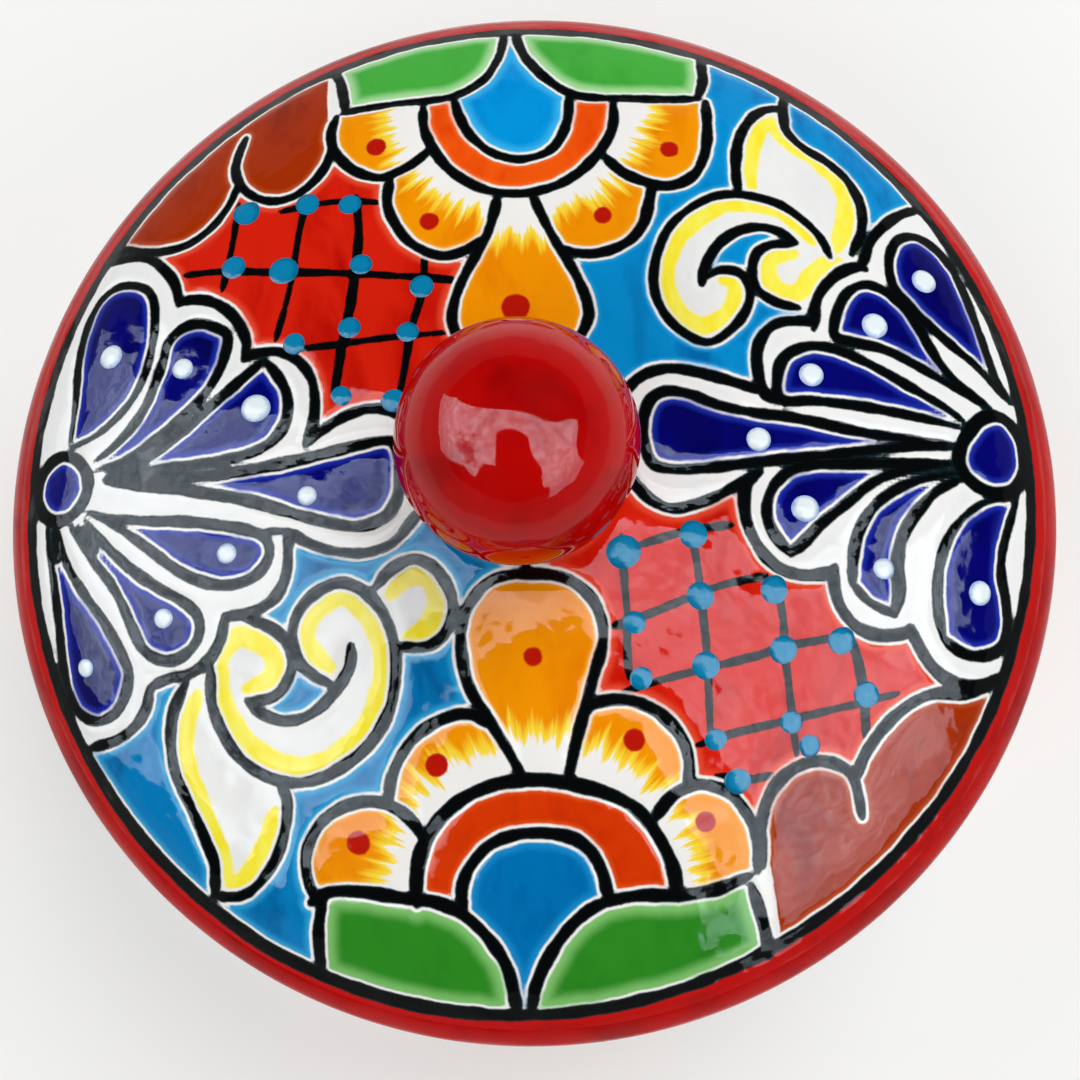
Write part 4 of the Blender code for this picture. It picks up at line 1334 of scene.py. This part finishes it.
class POTTERY_OT_lid_body(bpy.types.Operator):
    """Make the lid's dome: painted top, red rim, bare seat and plain underside"""

    bl_idname = "pottery.lid_body"
    bl_label = "Lid dome"

    def execute(self, context):
        sizes = context.scene.pottery_sizes
        rings = lid_rings()
        mesh, starts = ring_mesh("lid_body", rings)
        points = read_points(mesh)
        paint_rings = 1 + sum(ring[3] == PAINTED for ring in rings)
        painted = np.arange(len(points)) < starts[paint_rings]
        hubs = [(*TOP_FLOWER["hub"], -90.0), (*BOTTOM_FLOWER["hub"], 90.0)]
        paint_points(mesh, painted, lid_sheet(), *points[painted, :2].T / MM, hubs)
        uneven = np.arange(len(points)) < starts[paint_rings + EDGE_RINGS]
        uneven &= points[:, 2] > lid_datum + EVEN_EDGE
        rise = np.zeros(len(points))
        rise[uneven] = lid_rise(lid_sheet(), *points[uneven, :2].T / MM, sizes)
        knob_foot = np.hypot(points[:, 0], points[:, 1]) < NECK_RADIUS + 2.0 * NECK_SPREAD
        points[:, 2] += np.where(knob_foot, np.minimum(rise, 0.0) * 0.2, rise)
        write_points(mesh, points)
        self.add_bake_map(mesh, rings)
        piece = new_object("lid_body", mesh)
        red = red_glaze("deep_red_rim_cover", 0.1, RIM_SPECULAR)
        finish_piece(piece, "lid", ["lid_dome"],
                     [shared_painted_glaze(), red, shared_clay(), cream_glaze()])
        return {"FINISHED"}

    def add_bake_map(self, mesh, rings):
        """The top is one round island and the underside a smaller one, both flattened from the middle."""
        along = lengths_along([ring[:2] for ring in rings])
        first_under = [ring[3] for ring in rings].index(BARE)
        counts = [ring[2] for ring in rings]
        points = read_points(mesh)
        corners = read(mesh.loops, "vertex_index")
        turns = np.arctan2(points[:, 1], points[:, 0])[corners]
        top_length = np.repeat((along + VENT_RADIUS) / (along[first_under] + VENT_RADIUS), counts)
        under_length = np.repeat((along[-1] - along + VENT_RADIUS) / (along[-1] - along[first_under]), counts)
        top = np.repeat(read(mesh.polygons, "material_index") < BARE, 3)
        radius = np.where(top, 0.43 * top_length[corners], 0.12 * under_length[corners])
        middle = np.where(top, 0.435, 0.87)
        write_bake_map(mesh, middle + radius * np.cos(turns), middle + radius * np.sin(turns))


class POTTERY_OT_lid_flange(bpy.types.Operator):
    """Turn the ring under the lid that sits inside the dish's mouth"""

    bl_idname = "pottery.lid_flange"
    bl_label = "Lid flange"

    def execute(self, context):
        sizes = context.scene.pottery_sizes
        inner = flange_radius - FLANGE_WIDTH
        top = [(radius, lid_datum + float(crown_height(radius, inner_radius, inner_rise)) - 2.0 * JOINT_GAP)
               for radius in np.linspace(inner, flange_radius, 5)]
        low = flange_low.z + FLANGE_ROUNDING
        edge = (FLANGE_ROUNDING, FLANGE_ROUNDING)
        profile = top + straight(top[-1], (flange_radius, low), 6)
        profile += arc(flange_radius - FLANGE_ROUNDING, low, *edge, 0, -90, 5)[1:]
        profile += arc(inner + FLANGE_ROUNDING, low, *edge, -90, -180, 5) + straight((inner, low), top[0], 6)
        piece = turned_piece("lid_flange_ring", profile, sizes.segments, 0.5 * sizes.unevenness,
                             sizes.seed + 1, cream_glaze())
        finish_piece(piece, "lid", ["lid_flange"])
        return {"FINISHED"}


class POTTERY_OT_lid_knob(bpy.types.Operator):
    """Turn the ball knob"""

    bl_idname = "pottery.lid_knob"
    bl_label = "Ball knob"

    def execute(self, context):
        sizes = context.scene.pottery_sizes
        neck_turn = math.degrees(math.acos(NECK_RADIUS / knob_radius))
        profile = arc(0.0, knob_centre, knob_radius, knob_radius, 90, -neck_turn, 52)
        profile[0] = (0.0, knob_high.z)
        neck = profile[-1][1]
        foot = lid_top(NECK_RADIUS + NECK_SPREAD) + JOINT_GAP
        profile += [(NECK_RADIUS + NECK_SPREAD * share ** 2.2, neck + (foot - neck) * share)
                    for share in np.linspace(0.0, 1.0, 7)[1:]]
        profile += [(radius, lid_top(radius) + JOINT_GAP)
                    for radius in np.linspace(NECK_RADIUS + NECK_SPREAD, VENT_RADIUS, 7)[1:]]
        vent_top = lid_datum + crown_rise + VENT_DEPTH
        profile += straight(profile[-1], (VENT_RADIUS, vent_top), 5)
        profile += straight(profile[-1], (0.0, vent_top), 2)
        piece = turned_piece("ball_knob", profile, sizes.segments // 2, sizes.unevenness, sizes.seed + 2,
                             red_glaze("deep_red_knob_cover", 0.05, GLAZE_SPECULAR))
        finish_piece(piece, "lid", ["lid_knob"])
        return {"FINISHED"}


class POTTERY_OT_lid_beads(bpy.types.Operator):
    """Set the white and the turquoise enamel dots on the lid"""

    bl_idname = "pottery.lid_beads"
    bl_label = "Lid enamel dots"

    def execute(self, context):
        sizes, glazes = context.scene.pottery_sizes, context.scene.pottery_glazes
        white = enamel("pearl_enamel", glazes.pearl, glazes.pearl_rim)
        blue = enamel("turquoise_enamel", glazes.turquoise, glazes.turquoise_rim)
        for name, kind, height, roundness, material in (
                ("lid_white_dots", "pearls", sizes.pearl_height, 0.94, white),
                ("lid_turquoise_dots", "knots", sizes.net_height, 0.97, blue)):
            dots = [dot for motif in LID_MOTIFS for dot in motif.get(kind, [])]
            rises = lid_rise(lid_sheet(), *np.array(dots)[:, :2].T, sizes)
            places = [lid_point(x, y, rise) for (x, y, radius), rise in zip(dots, rises)]
            values = {"Segments": 28, "Height": height, "Roundness": roundness, "Seed": sizes.seed}
            piece = bead_piece(name, places, [radius for x, y, radius in dots], 0.0, values, material)
            finish_piece(piece, "lid")
        return {"FINISHED"}


class POTTERY_OT_dish_body(bpy.types.Operator):
    """Turn the dish and paint its side with the lid's motifs"""

    bl_idname = "pottery.dish_body"
    bl_label = "Dish"

    def execute(self, context):
        sizes = context.scene.pottery_sizes
        inside = [(0.0, floor_height)] + straight((0.0, floor_height), (base_radius, floor_height), 9)
        inside += arc(base_radius, turn_height, DISH_TURN - DISH_WALL, DISH_TURN - DISH_FLOOR, -90, 0, 9)[1:]
        inside += [(side_radius - DISH_WALL + side_lean(height), height)
                   for height in np.linspace(turn_height, lip_height, 6)[1:-1]]
        rounding = (RIM_ROUNDING, RIM_ROUNDING)
        lip = arc(rim_radius - DISH_WALL + RIM_ROUNDING, lip_height, *rounding, 180, 90, 4)
        lip += arc(rim_radius - RIM_ROUNDING, lip_height, *rounding, 90, 0, 4)[:-1]
        outside = dish_outside()
        profile = inside + lip + outside[::-1] + straight(outside[0], (0.0, dish_low.z), 7)
        piece = turned_piece("dish_shell", profile, sizes.wall_segments, sizes.unevenness, sizes.seed + 3,
                             shared_painted_glaze())
        mesh = piece.data
        rows = np.round(read(mesh.attributes["row"].data, "value", float)).astype(int)
        mesh.attributes.remove(mesh.attributes["row"])
        paint_from = len(inside) + len(lip) // 2
        paint_to = len(inside) + len(lip) + len(outside) - 1
        along = lengths_along(profile)
        up = along[paint_to] - along
        points = read_points(mesh)
        turns = np.arctan2(points[:, 1], points[:, 0]) % (2.0 * math.pi)
        painted = (rows >= paint_from) & (rows <= paint_to)
        across = turns[painted] * side_radius / MM % repeat_mm
        axis_turn, at_mm, scale = WALL_MOTIFS[0][1:4]
        flower = TOP_FLOWER["hub"]
        hub = wall_place(axis_turn, at_mm, scale)([flower[:2]])[0]
        hubs = [(hub[0], hub[1], flower[2] / scale, flower[3], 90.0)]
        gap = paint_points(mesh, painted, wall_sheet(), across, up[rows[painted]] / MM, hubs)
        sink = np.where(painted, relief(gap, sizes.line_depth, sizes.pillow), 0.0)
        radius = np.hypot(points[:, 0], points[:, 1])
        points[:, :2] *= (1.0 + sink / np.maximum(radius, VENT_RADIUS))[:, None]
        write_points(mesh, points)

        corners = read(mesh.loops, "vertex_index")
        counts = read(mesh.polygons, "loop_total")
        starts = np.concatenate([[0], np.cumsum(counts)[:-1]])
        face_row = np.add.reduceat(rows[corners], starts) / counts
        bands = np.where(face_row < paint_from, 1, np.where(face_row > paint_to, 2, 0))
        mesh.polygons.foreach_set("material_index", bands)
        self.add_bake_map(mesh, corners, counts, starts, bands, turns, along[rows], up[rows])
        finish_piece(piece, "dish", ["dish_body"], [cream_glaze(), shared_clay()])
        return {"FINISHED"}

    def add_bake_map(self, mesh, corners, counts, starts, bands, turns, along, up):
        """The side is four strips above each other, and the inside and the base are round islands beside."""
        strip_width, strip_height, strip_pitch = 0.62, 0.235, 0.245
        quarter = 0.5 * math.pi
        turn = turns[corners]
        first_turn = np.repeat(turn[starts], counts)
        turn = turn + 2.0 * math.pi * np.round((first_turn - turn) / (2.0 * math.pi))
        strip = np.repeat(np.floor(np.add.reduceat(turn, starts) / counts / quarter), counts)
        side_u = 0.01 + strip_width * (turn - strip * quarter) / quarter
        side_v = 0.01 + strip_pitch * (strip % 4) + strip_height * np.clip(up[corners] / 0.076, 0, 1)
        band = np.repeat(bands, counts)
        reach = 0.17 * np.where(band == 1, along[corners] / 0.18, (along.max() - along[corners]) / 0.1)
        island_u = 0.82 + reach * np.cos(turn)
        island_v = np.where(band == 1, 0.2, 0.65) + reach * np.sin(turn)
        write_bake_map(mesh, np.where(band == 0, side_u, island_u), np.where(band == 0, side_v, island_v))


class POTTERY_OT_wall_beads(bpy.types.Operator):
    """Set the enamel dots on the dish's side"""

    bl_idname = "pottery.wall_beads"
    bl_label = "Side enamel dots"

    def execute(self, context):
        sizes = context.scene.pottery_sizes
        outside = dish_outside()
        lengths = lengths_along(outside)
        for name, kind, share, height, material in (
                ("dish_white_dots", "pearls", 0.6, sizes.pearl_height, "pearl_enamel"),
                ("dish_turquoise_dots", "knots", 0.66, sizes.net_height, "turquoise_enamel")):
            places, radii = [], []
            for motifs, axis_turn, at_mm, scale, ink_share in WALL_MOTIFS:
                place = wall_place(axis_turn, at_mm, scale)
                for x, y, radius in [dot for motif in motifs for dot in motif.get(kind, [])]:
                    across, along = place([(x, y)])[0]
                    for repeat in range(WALL_REPEATS):
                        places.append(wall_point(along, across + repeat * repeat_mm, outside, lengths))
                        radii.append(share * radius)
            values = {"Segments": 18, "Height": height, "Roundness": 0.95, "Seed": sizes.seed + 4}
            piece = bead_piece(name, places, radii, 0.5 * sizes.unevenness, values,
                               bpy.data.materials[material])
            finish_piece(piece, "dish")
        return {"FINISHED"}


class POTTERY_OT_foot_ring(bpy.types.Operator):
    """Turn the bare foot ring"""

    bl_idname = "pottery.foot_ring"
    bl_label = "Foot ring"

    def execute(self, context):
        sizes = context.scene.pottery_sizes
        inner = foot_radius - FOOT_WIDTH
        low_outer, low_inner = foot_radius - FOOT_SPLAY, inner + FOOT_SPLAY
        rounding = (FOOT_ROUNDING, FOOT_ROUNDING, FOOT_ROUNDING)
        top = [(radius, foot_high.z) for radius in np.linspace(inner, foot_radius, 5)]
        profile = top + straight(top[-1], (low_outer, FOOT_ROUNDING), 4)
        profile += arc(low_outer - FOOT_ROUNDING, *rounding, 0, -90, 4)[1:]
        profile += arc(low_inner + FOOT_ROUNDING, *rounding, -90, -180, 4)
        profile += straight(profile[-1], top[0], 4)
        piece = turned_piece("foot_ring", profile, sizes.segments, 0.5 * sizes.unevenness, sizes.seed + 5,
                             shared_clay())
        finish_piece(piece, "dish", ["dish_foot_ring"])
        return {"FINISHED"}


# Camera at the photograph's angle
CAMERA_PLACE = (0.00919, -0.05587, 0.32714)
CAMERA_TURN = (9.683, 1.731, -1.709)
CAMERA_LENS_MM = 36.0
CAMERA_SENSOR_MM = 36.0

# Outline of the bright sky overhead, as shares of its height above the lid: the knob shows it with a notch
# where the viewer stands. The blotch is a dark place in it, in metres.
WINDOW_HEIGHT = 0.9
SKY_BLOTCH = (-0.95, -0.42, 1.0)
WINDOW_OUTLINE = [
    (-3.1, 1.95), (-2.3, 1.4), (-1.7, 1.05), (-1.3, 0.85), (-1.05, 0.62), (-0.8, 0.46), (-0.5, 0.34),
    (-0.2, 0.26), (0.15, 0.19), (0.5, 0.07), (0.9, 0.1), (1.2, 0.17), (1.5, 0.22), (1.58, -0.3), (1.9, -0.75),
    (2.7, -1.2), (2.6, -2.3), (1.9, -3.0), (1.3, -2.9), (1.05, -2.1), (0.98, -1.75), (0.72, -1.7),
    (0.52, -1.15), (0.47, -0.8), (0.3, -0.5), (0.24, -0.2), (0.12, -0.1), (-0.02, -0.05), (-0.16, -0.06),
    (-0.28, -0.12), (-0.31, -0.45), (-0.36, -0.72), (-0.66, -0.7), (-0.95, -1.0), (-1.17, -1.2),
    (-1.33, -1.1), (-1.38, -0.85), (-2.2, -0.75), (-3.1, -0.6),
]

# Soft lamps: name, place in metres, width, and the share of a plain level that each gives a level surface
SOFT_LAMPS = [
    ("soft_back_right", (0.9, 1.1, 1.5), 1.7, 0.50),
    ("soft_front_left", (-0.9, -1.3, 1.15), 1.5, 0.24),
    ("soft_front_right", (1.2, -1.0, 0.95), 1.2, 0.15),
    ("soft_back_left", (-1.3, 0.8, 1.0), 1.2, 0.13),
]


def stage_material(name):
    """An empty material: itself, its nodes and the coordinates."""
    material = bpy.data.materials.new(name)
    material.use_nodes = True
    material.node_tree.nodes.clear()
    tree = Tree(material.node_tree)
    return material, tree, tree.out("ShaderNodeTexCoord", None, "Object")


class POTTERY_OT_stage(bpy.types.Operator):
    """Make the floor with its backdrop, the lamps and the camera"""

    bl_idname = "pottery.stage"
    bl_label = "Stage"

    def execute(self, context):
        stage = context.scene.pottery_stage
        self.add_floor(stage)
        self.add_window(stage)
        self.add_lamps(context, stage)
        self.add_camera(context)
        context.scene.view_settings.view_transform = "Standard"
        return {"FINISHED"}

    def add_floor(self, stage):
        """A round floor that curves up into a wall all round."""
        turn = 0.15 * stage.reach
        outline = [(0.08 * stage.reach, 0.0), (0.4 * stage.reach, 0.0)]
        outline += arc(stage.reach - turn, turn, turn, turn, -90, 0, 12) + [(stage.reach, 0.42 * stage.reach)]
        count = 96
        turns = [2 * math.pi * k / count for k in range(count)]
        points = [(radius * math.cos(at), radius * math.sin(at), height)
                  for radius, height in outline for at in turns]
        faces = [tuple(range(count))]
        for row in range(0, count * (len(outline) - 1), count):
            for k in range(count):
                after = (k + 1) % count
                faces.append((row + k, row + count + k, row + count + after, row + after))
        mesh = bpy.data.meshes.new("backdrop")
        mesh.from_pydata(points, [], faces)
        mesh.shade_smooth()
        mesh.materials.append(self.backdrop_material(stage))
        backdrop = new_object("backdrop", mesh)

    def backdrop_material(self, stage):
        """Matt, pale round the dish and greyer far off and up the wall, which the knob's sides reflect. Part
        of what the camera and reflections see is its own even light, which softens shadows. From below it
        isn't there."""
        material, tree, place = stage_material("pale_backdrop")
        away = tree.vector("LENGTH", place)
        height = tree.out("ShaderNodeSeparateXYZ", {0: place}, "Z")
        far = tree.step(away, 0.3, 2.4) * 0.6 + tree.step(height, 0.1, 1.7) * 0.4
        tone = tree.mix(far, colour(stage.floor), colour(stage.far_floor))
        matt, even = [tree.out(kind, {"Color": tone})
                      for kind in ("ShaderNodeBsdfDiffuse", "ShaderNodeEmission")]
        path = tree.node("ShaderNodeLightPath").outputs
        seen = tree.math("MAXIMUM", path["Is Camera Ray"], path["Is Glossy Ray"])
        seen = tree.math("MAXIMUM", seen, path["Is Transmission Ray"])
        share = tree.step(away, 0.4, 2.2) * 0.2 + 0.38
        front = tree.out("ShaderNodeMixShader", {0: seen * share, 1: matt, 2: even})
        behind = tree.out("ShaderNodeNewGeometry", None, "Backfacing")
        clear = tree.out("ShaderNodeBsdfTransparent")
        both = tree.out("ShaderNodeMixShader", {0: behind, 1: front, 2: clear})
        tree.node("ShaderNodeOutputMaterial", {"Surface": both})
        return material

    def add_window(self, stage):
        """The bright sky that glazes reflect: a flat sheet overhead with the shape that the knob shows. It
        lights nothing, as the soft lamps give the light, and it is seen in first reflections only. Clouds
        make it patchy, a dark blotch stands where the photo's left side shows none, and it fades far out."""
        mesh = bpy.data.meshes.new("bright_sky")
        points = [(x * WINDOW_HEIGHT, y * WINDOW_HEIGHT, 0.1 + WINDOW_HEIGHT) for x, y in WINDOW_OUTLINE]
        mesh.from_pydata(points, [], [tuple(range(len(points)))])
        material, tree, place = stage_material("bright_sky")
        clouds = tree.noise(place, 5.0, 5.0, 0.7) - 0.5
        patchy = tree.math("MAXIMUM", clouds * 4.0 + 1.15, 0.3)
        blotch = tree.vector("LENGTH", tree.vector("SUBTRACT", place, SKY_BLOTCH)) + clouds * 0.8
        blotch = tree.step(blotch, 0.16, 0.34) * 0.8 + 0.2
        fade = 1.0 - tree.step(tree.vector("LENGTH", tree.off_axis(place)), 1.1, 2.4) * 0.5
        first = tree.math("LESS_THAN", tree.out("ShaderNodeLightPath", None, "Ray Depth"), 1.5)
        glow = tree.out("ShaderNodeEmission", {"Color": (0.88, 1.0, 1.1, 1.0),
                                               "Strength": patchy * blotch * fade * first * stage.window})
        tree.node("ShaderNodeOutputMaterial", {"Surface": glow})
        mesh.materials.append(material)
        window = new_object("bright_sky", mesh)
        window.visible_camera = False
        window.visible_diffuse = False
        window.visible_shadow = False

    def add_lamps(self, context, stage):
        """Large soft lamps round the dish, and a little even light. The lamps stay out of reflections."""
        for name, place, size, level in SOFT_LAMPS:
            lamp = bpy.data.lights.new(name, "AREA")
            lamp.shape = "DISK"
            lamp.size = size
            away = Vector(place)
            lamp.energy = stage.lamps * level * math.pi ** 2 * away.length ** 3 / away.z
            holder = new_object(name, lamp)
            holder.location = away
            holder.rotation_euler = away.to_track_quat("Z", "Y").to_euler()
            holder.visible_camera = False
            holder.visible_glossy = False
        world = bpy.data.worlds.new("studio")
        world.use_nodes = True
        background = world.node_tree.nodes["Background"]
        background.inputs["Color"].default_value = (1.0, 1.0, 1.0, 1.0)
        background.inputs["Strength"].default_value = stage.surroundings
        context.scene.world = world

    def add_camera(self, context):
        lens = bpy.data.cameras.new("camera")
        lens.lens = CAMERA_LENS_MM
        lens.sensor_width = CAMERA_SENSOR_MM
        lens.clip_start = 0.01
        camera = new_object("camera", lens)
        camera.location = CAMERA_PLACE
        camera.rotation_euler = [math.radians(turn) for turn in CAMERA_TURN]
        context.scene.camera = camera


PIECE_OPERATORS = [POTTERY_OT_dish_body, POTTERY_OT_foot_ring, POTTERY_OT_lid_body, POTTERY_OT_lid_flange,
                   POTTERY_OT_lid_knob, POTTERY_OT_lid_beads, POTTERY_OT_wall_beads, POTTERY_OT_stage]


class POTTERY_PT_panel(bpy.types.Panel):
    """Lists the pieces of the dish and their settings"""

    bl_idname = "POTTERY_PT_panel"
    bl_label = "Painted tortilla dish"
    bl_space_type = "VIEW_3D"
    bl_region_type = "UI"
    bl_category = "Pottery"

    def draw(self, context):
        layout = self.layout
        for operator in PIECE_OPERATORS:
            layout.operator(operator.bl_idname)
        scene = context.scene
        for title, settings in (("Glazes", scene.pottery_glazes), ("Sizes", scene.pottery_sizes),
                                ("Stage", scene.pottery_stage)):
            box = layout.box()
            box.label(text=title)
            for name in settings.__annotations__:
                box.prop(settings, name)


CLASSES = [PotteryGlazes, PotterySizes, PotteryStage, *PIECE_OPERATORS, POTTERY_PT_panel]


def register():
    for kind in CLASSES:
        bpy.utils.register_class(kind)
    bpy.types.Scene.pottery_glazes = PointerProperty(type=PotteryGlazes)
    bpy.types.Scene.pottery_sizes = PointerProperty(type=PotterySizes)
    bpy.types.Scene.pottery_stage = PointerProperty(type=PotteryStage)


def unregister():
    del bpy.types.Scene.pottery_stage
    del bpy.types.Scene.pottery_sizes
    del bpy.types.Scene.pottery_glazes
    for kind in reversed(CLASSES):
        bpy.utils.unregister_class(kind)


def main():
    register()
    for operator in PIECE_OPERATORS:
        family, name = operator.bl_idname.split(".")
        getattr(getattr(bpy.ops, family), name)()
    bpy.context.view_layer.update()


if __name__ == "__main__":
    main()
